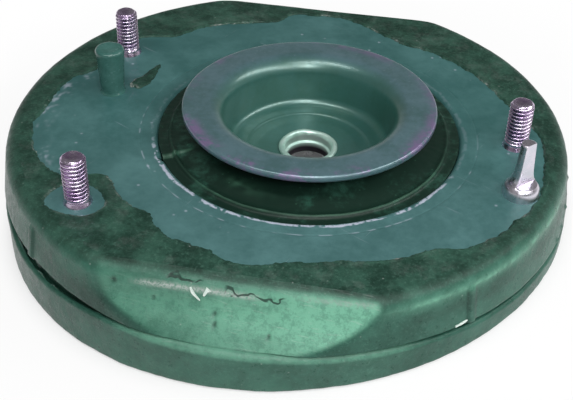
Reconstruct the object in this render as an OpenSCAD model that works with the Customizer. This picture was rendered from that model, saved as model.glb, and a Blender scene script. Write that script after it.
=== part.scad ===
// Strut mount: a rubber body moulded round a steel top plate with press-in studs and locating pins.
// An off-centre rubber bush carries a rebound cup and a sleeve for the strut rod.
// A thrust ball bearing sits in the hub underneath.
// Millimetres, +Z up. The origin is on the body's axis, level with the lowest point of the flange.

/* [Lower flange] */
// Radius of the lower flange
flange_r = 98; // [92:0.5:110]
// Height of the lower flange at its deep left side
flange_h = 18.7; // [17:0.1:22]
// Slope of the flange's underside, up towards the right
rim_slope = 3.7; // [2:0.1:4.5]
// Rounding of the flange's upper edge
flange_round = 1.4; // [0.8:0.1:1.5]
// Width of the ring that the part stands on
rim_w = 20; // [18:0.5:23]
// Draft of the recess wall, measured across its height
recess_draft = 2; // [0.5:0.5:4]

/* [Upper body] */
// Height of the top plate's upper face
body_h = 37.4; // [35:0.2:42]
// How far the wall's foot stands in from the flange's radius
wall_inset = 0.2; // [0.1:0.1:2]
// Inward lean of the wall over its whole height
wall_draft = 1.8; // [0.6:0.1:2.6]
// Rounding of the shoulder between wall and top
shoulder_round = 5; // [3:0.5:6]
// How far each flat's upper crease cuts in from the wall
flat_depth = 12.5; // [11:0.1:15]
// Lean of each flat away from upright
flat_lean = 18.4; // [12:0.2:26]
// Rounding of the crease above each flat
crease_round = 4.6; // [2:0.2:5]
// Height above the flange below which each flat flares out
flare_h = 10; // [8:0.2:12]
// Lean of that flared foot away from upright
flare_lean = 44.4; // [38:0.2:48]
// Rounding of the bend above the flare
flare_round = 5; // [2:0.5:8]
// Depth of the groove where the wall meets the flange
seam_d = 1.6; // [1.4:0.1:2.2]
// Height of that groove
seam_h = 2.6; // [1.6:0.2:3.4]
// Width of the upright ribs on the wall
rib_w = 2.6; // [1.5:0.1:4]
// Height of the ribs above the wall
rib_d = 0.7; // [0.4:0.1:1.2]
// Bearing of the right rib, seen from above
rib_right_angle = -42; // [-52:1:-34]
// Bearing of the left rib, seen from above
rib_left_angle = -134; // [-146:1:-128]
// Thickness of the rubber under the top plate
cover_t = 10; // [7:0.5:12]

/* [Top plate] */
// Sheet thickness of the top plate
plate_t = 3.5; // [2.5:0.1:4]
// Reach of the plate's round edge under the shoulder's rounding
plate_tuck = 0; // [-2:0.1:1]
// Rubber left beside the plate's straight edges
flat_cover = 5.9; // [5.4:0.1:8]
// Width of the plate between its round edge and its hole
plate_land = 39.6; // [37:0.2:42]
// Rounding of the hole's upper edge
hole_round = 2; // [0.8:0.2:3]
// Depth of the collar drawn down from the hole
collar_h = 17; // [14:0.5:18]
// Rubber sleeve round the collar
sleeve_cover = 4; // [2:0.5:5]
// Shift of the hole's centre along the flats
centre_x = 8; // [4:0.1:10]
// Shift of the hole's centre across the flats
centre_y = -3.1; // [-6:0.1:4]
// Thickness of the rubber skin that laps over the plate's border
flash_t = 0.5; // [0.3:0.1:0.8]
// Reach of that skin in from the plate's round edge
skin_lap = 15.5; // [13:0.1:18]
// Radius of the bare patch round each stud
bare_pad_r = 9.3; // [8:0.1:11]
// Depth that the plate's border is set down under the skin
border_drop = 0.2; // [0.1:0.1:0.4]

/* [Studs] */
// Outside radius of the stud thread
stud_r = 3.97; // [3:0.01:5]
// Height of each stud above the plate
stud_h = 17; // [14:0.5:24]
// Chamfer at the stud's tip
stud_tip = 0.9; // [0.5:0.1:1.4]
// Radius of the plain collar at the foot of the stud
stud_neck_r = 4.7; // [4.3:0.1:6]
// Height of that collar above the plate
stud_neck_h = 1.5; // [0.8:0.1:2.5]
// Radius of the stud head under the plate
stud_head_r = 7; // [6:0.1:8]
// Thickness of the stud head
stud_head_t = 2.6; // [2:0.1:3.4]
// Distance of the stud circle from the plate's round edge
stud_inset = 13.1; // [12:0.1:15]
// Shift of that circle along the flats
stud_circle_x = 0.4; // [-1:0.1:2]
// Shift of that circle across the flats
stud_circle_y = -4; // [-6:0.1:-2]
// Bearing of the front stud
stud_front_angle = -135.5; // [-139:0.5:-128]
// Bearing of the rear stud
stud_rear_angle = 151; // [147:0.5:158]
// Bearing of the right stud
stud_right_angle = 4.6; // [2:0.2:9]

/* [Locating pins] */
// Radius of the painted pin at its foot
painted_foot_r = 4.1; // [3.6:0.1:4.8]
// Radius of the painted pin at its top
painted_top_r = 5.1; // [4.2:0.1:5.6]
// Height of the painted pin above the plate
painted_h = 17.4; // [12:0.2:22]
// Distance of the painted pin from the plate's round edge, along its bearing
painted_inset = 25; // [22:0.1:28]
// Bearing of the painted pin from the stud circle's centre
painted_bearing = 171.4; // [168:0.1:174]
// Radius of the flatted pin's foot
flatted_foot_r = 5.3; // [4.6:0.1:5.8]
// Height of that foot above the plate
flatted_foot_h = 4.3; // [3:0.1:6]
// Radius of the flatted shank above the foot
flatted_r = 3.3; // [2.9:0.1:4]
// Radius of the shank at its tip
flatted_tip_r = 2.2; // [1.8:0.1:2.8]
// Height of the flatted pin above the plate
flatted_h = 19.4; // [15:0.2:24]
// Distance of the flat from the pin's axis
flatted_cut = 1.4; // [0.4:0.1:1.7]
// Bearing that the flat faces
flatted_angle = -45; // [-90:5:0]
// Distance of the flatted pin from the plate's round edge, along its bearing
flatted_inset = 8.5; // [8:0.1:11]
// Bearing of the flatted pin from the stud circle's centre
flatted_bearing = -14.7; // [-17:0.1:-13]
// Width of the ring at the foot of each pin, which is pressed into the plate
pin_ring = 0.6; // [0.3:0.1:0.8]
// Bare metal left round the foot of the flatted pin
pin_margin = 0.3; // [0.2:0.1:0.4]

/* [Rebound cup] */
// Radius of the cup's rim
cup_r = 43; // [41:0.2:46]
// Sheet thickness of the cup
cup_t = 2.6; // [2:0.1:3.2]
// Height of the rim above the top plate
cup_rise = 10; // [9:0.2:13]
// Depth of the cup from rim to floor
cup_depth = 17.4; // [16:0.2:19]
// Radius of the cup's mouth, inside the rolled rim
cup_mouth_r = 30.2; // [29:0.2:32]
// Radius of the roll from rim to wall
cup_roll = 5.6; // [4.5:0.2:7]
// Radius of the corner between wall and floor
cup_corner = 3; // [2:0.2:4]
// Lean of the cup's wall
cup_lean = 11; // [6:0.5:13]
// Radius of the step pressed into the floor
cup_step_r = 20.9; // [18:0.1:22]
// Depth of that step
cup_step_d = 0.6; // [0.2:0.1:1]
// Rounding of the rim's edge
cup_edge = 0.9; // [0.3:0.1:1]

/* [Centre bush] */
// Width of the flat lip beside the plate's hole
lip_w = 4; // [2:0.5:6]
// Drop of the lip below the plate's upper face
lip_drop = 1.6; // [0.8:0.2:3]
// Height of the bead on the lip's inner edge
lip_step = 1.2; // [0.6:0.2:2]
// Rise of the bush from the bead up to the cup's wall
bush_rise = 2.6; // [1:0.2:4]
// Height of the bush's lower face above the collar's end
bush_lift = 1.2; // [0.5:0.1:2.5]

/* [Centre sleeve] */
// Radius of the bore for the strut rod
rod_r = 7.25; // [6.2:0.05:8.2]
// Wall of the sleeve
sleeve_t = 1.4; // [1:0.1:2]
// How far the rolled ends reach past the sleeve's wall
sleeve_roll = 1.5; // [1:0.1:2.4]
// Thickness of the rolled ends
sleeve_roll_t = 1.1; // [0.8:0.1:1.6]
// Chamfer at both ends of the bore
sleeve_chamfer = 0.5; // [0.2:0.1:0.8]

/* [Hub and bearing] */
// Sheet thickness of the hub
hub_t = 3.2; // [2.6:0.1:3.8]
// Rounding of the hub's outer shoulder
hub_round = 2; // [1:0.2:2.6]
// Depth of the hub's skirt below its plate
hub_skirt = 8.6; // [6:0.2:9.5]
// Outer radius of the upper race
race_r = 33; // [32:0.2:34]
// Width of the upper race from bore to rim
race_w = 14; // [13:0.2:15]
// Thickness of each race
race_t = 4.6; // [4:0.1:4.8]
// Depth of the ball groove in each race
groove_d = 1.3; // [0.8:0.1:1.6]
// Radius of the balls
ball_r = 3.5; // [3:0.05:3.6]
// Distance of the circle of balls from the upper race's rim
ball_inset = 7.5; // [7:0.1:8]
// Number of balls
ball_count = 16; // [10:1:18]
// Thickness of the ball cage
cage_t = 3; // [2:0.1:3.2]
// Web of the cage beside the balls
cage_web = 1.2; // [0.8:0.1:1.3]
// Wall of the bearing's dust seal
seal_t = 1.6; // [1:0.1:1.7]

/* [Clearances] */
// Bond film between rubber and metal
bond_gap = 0.05; // [0.02:0.01:0.1]
// Gap round pressed-in pieces
press_gap = 0.03; // [0.01:0.01:0.08]
// Gap between pieces that turn past each other
run_gap = 0.4; // [0.3:0.05:0.5]
// Play of the balls in their grooves and pockets
ball_gap = 0.12; // [0.08:0.01:0.2]

/* [Hidden] */

$fn = 96;
eps = 0.01;
arc_steps = 8;
span = 4 * flange_r;

// Upper body and plate
wall_r = flange_r - wall_inset;
flat_half = wall_r - flat_depth;
skin_z = body_h + flash_t;
top_r = wall_r - wall_draft - shoulder_round;
plate_r = top_r + plate_tuck;
plate_half = flat_half - flat_cover;
plate_z = body_h - plate_t;
hole_r = plate_r - plate_land;
bare_r = plate_r - skin_lap;
recess_r = flange_r - rim_w;
recess_z = plate_z - cover_t;
collar_r = hole_r + plate_t;
collar_z = body_h - collar_h;
boss_r = collar_r + sleeve_cover;
boss_z = collar_z - sleeve_cover / 2;

// Bare lobes of the plate at its right, left and rear: bearing, reach from the body's axis, radius
bare_lobes = [[-18, plate_r - 0.8, 45], [-162, plate_r - 4, 45], [99, plate_half - 2, 28]];

// Studs and pins
front_xy = place_at(stud_inset, stud_front_angle);
rear_xy = place_at(stud_inset, stud_rear_angle);
right_xy = place_at(stud_inset, stud_right_angle);
painted_xy = place_at(painted_inset, painted_bearing);
flatted_xy = place_at(flatted_inset, flatted_bearing);
stud_places = [front_xy, rear_xy, right_xy];
painted_ring_r = painted_foot_r + pin_ring;
flatted_ring_r = flatted_foot_r + pin_ring;
stud_dish_d = stud_tip / 2;

// Rebound cup
rim_z = body_h + cup_rise;
floor_z = rim_z - cup_depth;
roll_c = [cup_mouth_r + cup_roll, rim_z - cup_roll];
roll_end = roll_c + cup_roll * [-cos(cup_lean), sin(cup_lean)];
corner_top_z = floor_z + cup_corner * (1 - sin(cup_lean));
corner_run = (roll_end[1] - corner_top_z) * tan(cup_lean);
corner_c = [roll_end[0] - corner_run - cup_corner * cos(cup_lean), floor_z + cup_corner];
cup_waist_r = cup_mouth_r + cup_t;
step_z = floor_z - cup_step_d;
cup_base_z = step_z - cup_t;

// Centre sleeve
sleeve_r = rod_r + sleeve_t;
sleeve_head_r = sleeve_r + sleeve_roll;
sleeve_hole_r = sleeve_r + press_gap;

// Hub and bearing
hub_top_z = cup_base_z;
hub_z = hub_top_z - hub_t;
hub_pocket_r = race_r + press_gap;
hub_r = hub_pocket_r + hub_t;
skirt_z = hub_z - hub_skirt;
sleeve_end_z = hub_z - sleeve_roll_t;
race_face = ball_r - groove_d;
ball_z = hub_z - race_t - race_face;
race_bore_r = race_r - race_w;
ball_circle_r = race_r - ball_inset;
groove_r = ball_r + ball_gap;
cage_half_w = ball_r + ball_gap + cage_web;
lower_race_r = race_r - seal_t - run_gap - press_gap;
lower_race_z = ball_z - race_face - race_t;
seal_r = lower_race_r + press_gap;

// Place on the plate, an inset from its round edge along a bearing from the stud circle's centre
function place_at(inset, bearing) =
    [stud_circle_x, stud_circle_y] + (plate_r - inset) * [cos(bearing), sin(bearing)];

// Points along an arc in the profile plane
function arc(centre, r, from, to) =
    [for (i = [0 : arc_steps]) let (a = from + (to - from) * i / arc_steps)
        centre + r * [cos(a), sin(a)]];

// Moves children to the axis of the hole and cup
module at_centre() {
    translate([centre_x, centre_y, 0]) children();
}

// Outline of the top plate, grown by a gap all round
module plate_outline(grow) {
    intersection() {
        circle(plate_r + grow, $fn = 180);
        square([span, 2 * (plate_half + grow)], center = true);
    }
}

// Bare part of the plate that the rubber skin leaves open, grown by a gap all round
module bare_outline(grow) {
    circle(bare_r + grow, $fn = 180);
    for (lobe = bare_lobes)
        rotate(lobe[0]) translate([lobe[1] - lobe[2], 0]) circle(lobe[2] + grow);
    for (place = stud_places)
        translate(place) circle(bare_pad_r + grow);
    translate(flatted_xy) circle(flatted_ring_r + pin_margin + grow);
}

// Round flange whose underside slopes up from its lowest point at the left
module flange_solid() {
    difference() {
        rotate_extrude($fn = 180) polygon(concat(
            [[0, 0], [flange_r, 0]],
            arc([flange_r - flange_round, flange_h - flange_round], flange_round, 0, 90),
            [[0, flange_h]]));
        translate([-flange_r, 0, 0]) rotate([0, -rim_slope, 0])
            translate([-span, -span / 2, -span]) cube([2 * span, span, span]);
    }
}

// Round wall and shoulder before the flats are cut
module wall_solid() {
    root_z = flange_h - flange_round;
    groove_foot_r = wall_r - seam_d;
    rib_z = flange_h + 0.75 * seam_h;
    shoulder = [top_r, skin_z - shoulder_round];
    rotate_extrude($fn = 180) polygon(concat(
        [[0, root_z], [groove_foot_r - flange_round, root_z], [groove_foot_r, flange_h],
            [groove_foot_r, flange_h + seam_h / 2], [wall_r, flange_h + seam_h]],
        arc(shoulder, shoulder_round, 0, 90),
        [[0, skin_z]]));
    for (angle = [rib_right_angle, rib_left_angle])
        rotate(angle) translate([top_r, -rib_w / 2, rib_z])
            cube([wall_r + rib_d - top_r, rib_w, shoulder[1] - rib_z]);
}

// Cross-section between the two flats: rounded crease, leaning face and flared foot on each side
module flats_section() {
    base_z = flange_h - flange_round - eps;
    bend_z = flange_h + flare_h;
    bend_half = flat_half + (skin_z - bend_z) * tan(flat_lean);
    base_half = bend_half + (bend_z - base_z) * tan(flare_lean);
    bend_run = flare_round * tan((flare_lean - flat_lean) / 2);
    bend_c = [bend_half, bend_z] + bend_run * [-sin(flat_lean), cos(flat_lean)]
        + flare_round * [cos(flat_lean), sin(flat_lean)];
    crease_c = [flat_half - crease_round * tan((90 - flat_lean) / 2), skin_z - crease_round];
    side = concat(
        [[base_half, base_z]],
        arc(bend_c, flare_round, 180 + flare_lean, 180 + flat_lean),
        arc(crease_c, crease_round, flat_lean, 90));
    polygon(concat(side, [for (i = [len(side) - 1 : -1 : 0]) [-side[i][0], side[i][1]]]));
}

module upper_solid() {
    intersection() {
        wall_solid();
        rotate([90, 0, 90]) linear_extrude(span, center = true) flats_section();
    }
}

// Recess moulded into the underside, round the boss of the collar
module recess_space() {
    difference() {
        rotate_extrude($fn = 180) polygon([[0, -1], [recess_r, -1], [recess_r, 0],
            [recess_r - recess_draft, recess_z], [0, recess_z]]);
        at_centre() translate([0, 0, boss_z]) cylinder(span, r = boss_r, $fn = 180);
    }
}

module rubber_body() {
    color("darkslategray") difference() {
        union() {
            flange_solid();
            upper_solid();
        }
        recess_space();
        at_centre() cylinder(span, r = collar_r + bond_gap, center = true, $fn = 180);
        translate([0, 0, plate_z - bond_gap])
            linear_extrude(plate_t - border_drop + 2 * bond_gap) plate_outline(bond_gap);
        translate([0, 0, plate_z]) linear_extrude(plate_t + 2 * flash_t) bare_outline(bond_gap);
        for (place = stud_places)
            translate([place[0], place[1], plate_z - stud_head_t - bond_gap])
                cylinder(stud_head_t + 2 * bond_gap, r = stud_head_r + bond_gap);
    }
}

module top_plate() {
    color("cadetblue") difference() {
        union() {
            translate([0, 0, plate_z]) linear_extrude(plate_t - border_drop) plate_outline(0);
            translate([0, 0, plate_z]) linear_extrude(plate_t) bare_outline(0);
            at_centre() translate([0, 0, collar_z])
                cylinder(collar_h - plate_t + eps, r = collar_r, $fn = 180);
        }
        at_centre() rotate_extrude($fn = 180) polygon(concat(
            [[0, collar_z - 1], [hole_r, collar_z - 1]],
            arc([hole_r + hole_round, body_h - hole_round], hole_round, 180, 90),
            [[hole_r + hole_round, body_h + 1], [0, body_h + 1]]));
        for (place = stud_places)
            translate([place[0], place[1], plate_z - 1])
                cylinder(plate_t + 2, r = stud_neck_r + press_gap);
        translate([painted_xy[0], painted_xy[1], plate_z - 1])
            cylinder(plate_t + 2, r = painted_ring_r + press_gap);
        translate([flatted_xy[0], flatted_xy[1], plate_z - 1])
            cylinder(plate_t + 2, r = flatted_ring_r + press_gap);
    }
}

// Press-in stud: head under the plate, collar in the plate, threaded length above it
module stud(place) {
    neck_z = body_h + stud_neck_h;
    tip_z = body_h + stud_h;
    color("thistle") translate([place[0], place[1], 0]) rotate_extrude() polygon([
        [0, plate_z - stud_head_t], [stud_head_r, plate_z - stud_head_t], [stud_head_r, plate_z],
        [stud_neck_r, plate_z], [stud_neck_r, neck_z], [stud_r, neck_z],
        [stud_r, tip_z - stud_tip], [stud_r - stud_tip, tip_z], [stud_r - 1.6 * stud_tip, tip_z],
        [0, tip_z - stud_dish_d]]);
}

module stud_front() stud(front_xy);

module stud_rear() stud(rear_xy);

module stud_right() stud(right_xy);

module painted_pin() {
    crown = painted_top_r / 4;
    foot_z = body_h + pin_ring / 2;
    top_z = body_h + painted_h;
    color("seagreen") translate([painted_xy[0], painted_xy[1], 0]) rotate_extrude() polygon(concat(
        [[0, plate_z], [painted_ring_r, plate_z], [painted_ring_r, foot_z], [painted_foot_r, foot_z]],
        arc([painted_top_r - crown, top_z - crown], crown, 0, 90),
        [[0, top_z]]));
}

// Round foot on the plate, with a tapered shank above it that has a flat down one side
module flatted_pin() {
    ring_z = body_h + pin_ring;
    foot_z = body_h + flatted_foot_h;
    top_z = body_h + flatted_h;
    edge = pin_ring / 2;
    color("silver") translate([flatted_xy[0], flatted_xy[1], 0]) rotate(flatted_angle) difference() {
        rotate_extrude() polygon([
            [0, plate_z], [flatted_ring_r, plate_z], [flatted_ring_r, ring_z],
            [flatted_foot_r, ring_z], [flatted_foot_r, foot_z - edge],
            [flatted_foot_r - edge, foot_z], [flatted_r, foot_z],
            [flatted_tip_r, top_z - edge], [flatted_tip_r - edge, top_z], [0, top_z]]);
        translate([flatted_cut, -span / 2, foot_z]) cube(span);
    }
}

module centre_bush() {
    wall_in = cup_waist_r + run_gap;
    lip_z = body_h - lip_drop;
    bead_r = hole_r - lip_w;
    color("black") at_centre() rotate_extrude($fn = 180) polygon([
        [hub_r + bond_gap, collar_z + bush_lift], [hole_r - bond_gap, collar_z + bush_lift],
        [hole_r - bond_gap, lip_z], [bead_r, lip_z], [bead_r - lip_step / 3, lip_z + lip_step],
        [wall_in, lip_z + lip_step + bush_rise], [wall_in, hub_top_z + bond_gap],
        [hub_r + bond_gap, hub_top_z + bond_gap]]);
}

module rebound_cup() {
    under_roll = cup_roll - cup_t;
    under_corner = cup_corner + cup_t;
    edge_c = cup_r - cup_edge;
    color("slategray") at_centre() rotate_extrude($fn = 180) polygon(concat(
        [[sleeve_hole_r, cup_base_z], [cup_step_r, cup_base_z]],
        [[cup_step_r + cup_step_d, floor_z - cup_t]],
        arc(corner_c, under_corner, -90, -cup_lean),
        arc(roll_c, under_roll, 180 - cup_lean, 90),
        arc([edge_c, rim_z - cup_t + cup_edge], cup_edge, -90, 0),
        arc([edge_c, rim_z - cup_edge], cup_edge, 0, 90),
        arc(roll_c, cup_roll, 90, 180 - cup_lean),
        arc(corner_c, cup_corner, -cup_lean, -90),
        [[cup_step_r + cup_step_d, floor_z], [cup_step_r, step_z], [sleeve_hole_r, step_z]]));
}

// Tube that passes through cup and hub, with both ends rolled over
module centre_sleeve() {
    head_z = step_z + sleeve_roll_t;
    color("gainsboro") at_centre() rotate_extrude() polygon([
        [rod_r + sleeve_chamfer, sleeve_end_z], [sleeve_head_r, sleeve_end_z], [sleeve_head_r, hub_z],
        [sleeve_r, hub_z], [sleeve_r, step_z], [sleeve_head_r, step_z],
        [sleeve_head_r - sleeve_chamfer, head_z], [rod_r + sleeve_chamfer, head_z],
        [rod_r, head_z - sleeve_chamfer], [rod_r, sleeve_end_z + sleeve_chamfer]]);
}

module bearing_hub() {
    color("dimgray") at_centre() rotate_extrude($fn = 180) polygon(concat(
        [[sleeve_hole_r, hub_z], [hub_pocket_r, hub_z], [hub_pocket_r, skirt_z], [hub_r, skirt_z]],
        arc([hub_r - hub_round, hub_top_z - hub_round], hub_round, 0, 90),
        [[sleeve_hole_r, hub_top_z]]));
}

// Section of one race: a ring with a ball groove in the given face
module race(out_r, bottom_z) {
    at_centre() rotate_extrude($fn = 180) difference() {
        translate([race_bore_r, bottom_z]) square([out_r - race_bore_r, race_t]);
        translate([ball_circle_r, ball_z]) circle(groove_r);
    }
}

module upper_race() {
    color("lightsteelblue") race(race_r, ball_z + race_face);
}

module lower_race() {
    color("lightsteelblue") race(lower_race_r, lower_race_z);
}

// Places children on the circle of balls
module each_ball() {
    at_centre() for (i = [0 : ball_count - 1])
        rotate(360 * i / ball_count) translate([ball_circle_r, 0, ball_z]) children();
}

module bearing_balls() {
    color("white") each_ball() sphere(ball_r, $fn = 48);
}

module ball_cage() {
    color("tan") difference() {
        at_centre() translate([0, 0, ball_z - cage_t / 2]) difference() {
            cylinder(cage_t, r = ball_circle_r + cage_half_w);
            translate([0, 0, -1]) cylinder(cage_t + 2, r = ball_circle_r - cage_half_w);
        }
        each_ball() cylinder(cage_t + 2, r = groove_r, center = true, $fn = 48);
    }
}

// Dust seal carried on the rim of the lower race
module bearing_seal() {
    lip_z = ball_z + race_face - run_gap;
    color("darkolivegreen") at_centre() rotate_extrude() translate([seal_r, lower_race_z])
        square([seal_t, lip_z - lower_race_z]);
}

rubber_body();
top_plate();
stud_front();
stud_rear();
stud_right();
painted_pin();
flatted_pin();
centre_bush();
rebound_cup();
centre_sleeve();
bearing_hub();
upper_race();
bearing_balls();
ball_cage();
lower_race();
bearing_seal();
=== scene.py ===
import math
from types import SimpleNamespace
import bmesh
import bpy
import numpy as np
from mathutils import Matrix, Vector


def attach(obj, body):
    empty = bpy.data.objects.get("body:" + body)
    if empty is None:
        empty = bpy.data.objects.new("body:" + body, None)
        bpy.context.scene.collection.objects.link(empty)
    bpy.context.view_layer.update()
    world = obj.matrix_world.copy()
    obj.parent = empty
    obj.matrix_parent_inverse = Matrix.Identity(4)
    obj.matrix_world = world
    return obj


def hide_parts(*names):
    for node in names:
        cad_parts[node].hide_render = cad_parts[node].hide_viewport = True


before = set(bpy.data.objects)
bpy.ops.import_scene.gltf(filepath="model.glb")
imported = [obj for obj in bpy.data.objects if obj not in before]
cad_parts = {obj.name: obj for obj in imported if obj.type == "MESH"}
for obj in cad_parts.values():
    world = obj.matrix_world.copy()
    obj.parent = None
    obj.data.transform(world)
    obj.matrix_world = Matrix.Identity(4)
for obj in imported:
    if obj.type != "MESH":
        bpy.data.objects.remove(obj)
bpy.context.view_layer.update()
print("frame loaded with", len(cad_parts), "nodes")

mm = 0.001
drawnFrom = np.array([-4.5, 0.0, 8.2])  # the pieces' own zero, in the CAD frame
bodyAxis = np.array([4.5, 0.0])         # flange, wall, shoulder and the plate's round edge
centreAxis = np.array([12.5, -3.1])     # plate hole, bush, cup and sleeve
plateTop = 29.2
skinTop = 29.7
skinFoot = 29.17                        # skin and flash start a hair inside the plate
plateUnder = 25.7                       # where studs and pins start, under the plate
axisR = 0.01                            # radius at which a turned piece closes on its axis
# the studs: x, y and the height at which the thread starts
studPlaces = {"front": (-50.66, -58.60, 0.4), "rear": (-63.23, 33.77, 2.1),
              "right": (82.55, 2.25, 4.0)}
scene = bpy.context.scene


# camera at the photo's viewing angle
camera = {"lens": 67.63, "sensor": 36.0, "nearest": 0.01, "distance": 394.95, "elevation": 37.6,
          "turn": 10.12, "roll": 1.36, "aimX": 4.74, "aimZ": -6.0}


def makeCamera():
    lift = math.radians(camera["elevation"])
    tilt = math.radians(camera["roll"])
    turn = Matrix.Rotation(math.radians(camera["turn"]), 3, "Z")
    ahead = Vector((0, math.cos(lift), -math.sin(lift)))
    right = Vector((1, 0, 0))
    up = Vector((0, math.sin(lift), math.cos(lift)))
    place = turn @ (Vector((camera["aimX"], 0, camera["aimZ"])) - ahead * camera["distance"])
    rolledRight = turn @ (right * math.cos(tilt) + up * math.sin(tilt))
    rolledUp = turn @ (up * math.cos(tilt) - right * math.sin(tilt))
    back = turn @ -ahead
    data = bpy.data.cameras.new("photoCamera")
    data.lens = camera["lens"]
    data.sensor_width = camera["sensor"]
    data.clip_start = camera["nearest"]
    eye = bpy.data.objects.new("photoCamera", data)
    scene.collection.objects.link(eye)
    turned = Matrix((rolledRight, rolledUp, back)).transposed().to_4x4()
    eye.matrix_world = Matrix.Translation((place + Vector(drawnFrom)) * mm) @ turned
    scene.camera = eye


makeCamera()
print("camera placed")


# shaping helpers, all in millimetres
noiseSize = 4096
noiseStep = (73856093, 19349663, 83492791)  # primes that scatter the noise's lattice


def ease(value, low, high):
    part = np.clip((value - low) / (high - low), 0.0, 1.0)
    return part * part * (3.0 - 2.0 * part)


def window(value, low, lowEnd, highStart, high):
    return ease(value, low, lowEnd) * (1 - ease(value, highStart, high))


def bell(value, half):
    return np.exp(-(value / half)**2)


def softMin(a, b, blend):
    mix = np.clip(0.5 + 0.5 * (b - a) / blend, 0.0, 1.0)
    return b + (a - b) * mix - blend * mix * (1.0 - mix)


def curveThrough(at, places, values):
    places = np.asarray(places, float)
    values = np.asarray(values, float)
    slopes = np.gradient(values, places)
    k = np.clip(np.searchsorted(places, at) - 1, 0, len(places) - 2)
    gap = places[k + 1] - places[k]
    t = np.clip((at - places[k]) / gap, 0.0, 1.0)
    return ((2 * t**3 - 3 * t**2 + 1) * values[k] + (t**3 - 2 * t**2 + t) * gap * slopes[k]
            + (3 * t**2 - 2 * t**3) * values[k + 1] + (t**3 - t**2) * gap * slopes[k + 1])


def roundCurve(degrees, points):
    places = np.array([p[0] for p in points], float)
    values = np.array([p[1] for p in points], float)
    places = np.concatenate([places - 360, places, places + 360])
    return curveThrough((degrees + 180) % 360 - 180, places, np.tile(values, 3))


def lumps(points, cell, seed):
    # smooth lattice noise between -1 and 1
    table = np.random.default_rng(seed).random(noiseSize)
    grid = np.asarray(points).reshape(-1, 3) / cell
    base = np.floor(grid).astype(np.int64)
    part = grid - base
    part = part * part * (3.0 - 2.0 * part)
    total = np.zeros(len(grid))
    for corner in np.ndindex(2, 2, 2):
        spot = (base + corner) * noiseStep
        key = spot[:, 0] ^ spot[:, 1] ^ spot[:, 2]
        total += table[key & (noiseSize - 1)] * np.where(corner, part, 1 - part).prod(axis=1)
    return (total * 2.0 - 1.0).reshape(np.asarray(points).shape[:-1])


def layers(points, sizes):
    # several lumps on top of each other: size, cell, seed
    return sum(size * lumps(points, cell, seed) for size, cell, seed in sizes)


def allRound(columns, start=-np.pi):
    return np.linspace(start, start + 2 * np.pi, columns, endpoint=False)


def arcPoints(centreR, centreZ, radius, start, stop, steps):
    turns = np.radians(np.linspace(start, stop, steps))
    return [(centreR + radius * math.cos(t), centreZ + radius * math.sin(t)) for t in turns]


def ringPoints(rows, turns, axis):
    # rows of (radius, height), each one number or one per bearing, set round an upright axis
    radius = np.array([row[0] + 0.0 * turns for row in rows])
    height = np.array([row[1] + 0.0 * turns for row in rows])
    x, y = axis[0] + radius * np.cos(turns), axis[1] + radius * np.sin(turns)
    return np.stack([x, y, height], -1), radius, height


def ringFaces(rowCount, columns, wrap):
    rows = np.arange(rowCount if wrap else rowCount - 1)
    a, c = np.meshgrid(rows, np.arange(columns), indexing="ij")
    b, d = (a + 1) % rowCount, (c + 1) % columns
    quads = np.stack([a * columns + c, a * columns + d, b * columns + d, b * columns + c], -1)
    return quads.reshape(-1, 4)


def cappedFaces(rowCount, columns):
    first, last = range(columns), range((rowCount - 1) * columns, rowCount * columns)
    return ringFaces(rowCount, columns, False).tolist() + [list(first)[::-1], list(last)]


def awayFrom(points, place):
    return np.hypot(points[..., 0] - place[0], points[..., 1] - place[1])


def outward(points, place):
    # level directions that point away from an upright axis
    bearing = np.arctan2(points[..., 1] - place[1], points[..., 0] - place[0])
    return np.stack([np.cos(bearing), np.sin(bearing)], -1)


def makePiece(name, points, faces, material, replaced=(), sharp=None):
    verts = (np.asarray(points).reshape(-1, 3) + drawnFrom) * mm
    mesh = bpy.data.meshes.new(name)
    mesh.from_pydata(verts.tolist(), [], [list(map(int, face)) for face in faces])
    tidy = bmesh.new()
    tidy.from_mesh(mesh)
    bmesh.ops.recalc_face_normals(tidy, faces=tidy.faces)
    tidy.to_mesh(mesh)
    tidy.free()
    mesh.polygons.foreach_set("use_smooth", np.ones(len(mesh.polygons), bool))
    if sharp:
        mesh.set_sharp_from_angle(angle=math.radians(sharp))
    mesh.materials.append(material)
    piece = bpy.data.objects.new(name, mesh)
    scene.collection.objects.link(piece)
    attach(piece, "mount")
    if replaced:
        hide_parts(*replaced)
    print("made", name, "with", len(mesh.polygons), "faces")
    return piece


def paintMask(piece, name, values):
    layer = piece.data.attributes.new(name, "FLOAT", "POINT")
    layer.data.foreach_set("value", np.asarray(values, np.float32).ravel())


# shader helpers
def feed(tree, socket, value):
    if isinstance(value, bpy.types.NodeSocket):
        tree.links.new(value, socket)
    else:
        socket.default_value = value


def addNode(tree, kind, inputs=None, **traits):
    made = tree.nodes.new("ShaderNode" + kind)
    for key, value in traits.items():
        setattr(made, key, value)
    for key, value in (inputs or {}).items():
        feed(tree, made.inputs[key], value)
    return made


def newGroup(name, inputs, outputs):
    group = bpy.data.node_groups.new(name, "ShaderNodeTree")
    for label, value in inputs.items():
        socket = group.interface.new_socket(label, in_out="INPUT", socket_type="NodeSocketFloat")
        socket.default_value = value
    for label in outputs:
        group.interface.new_socket(label, in_out="OUTPUT", socket_type="NodeSocketFloat")
    return group, group.nodes.new("NodeGroupInput"), group.nodes.new("NodeGroupOutput")


def useGroup(tree, group, **inputs):
    made = tree.nodes.new("ShaderNodeGroup")
    made.node_tree = group
    for label, value in inputs.items():
        feed(tree, made.inputs[label], value)
    return made


def mixColour(tree, share, first, second):
    return addNode(tree, "Mix", {0: share, 6: first, 7: second}, data_type="RGBA").outputs[2]


def reckon(tree, operation, first, second, clamp=False):
    made = addNode(tree, "Math", {0: first, 1: second}, operation=operation, use_clamp=clamp)
    return made.outputs[0]


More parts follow.
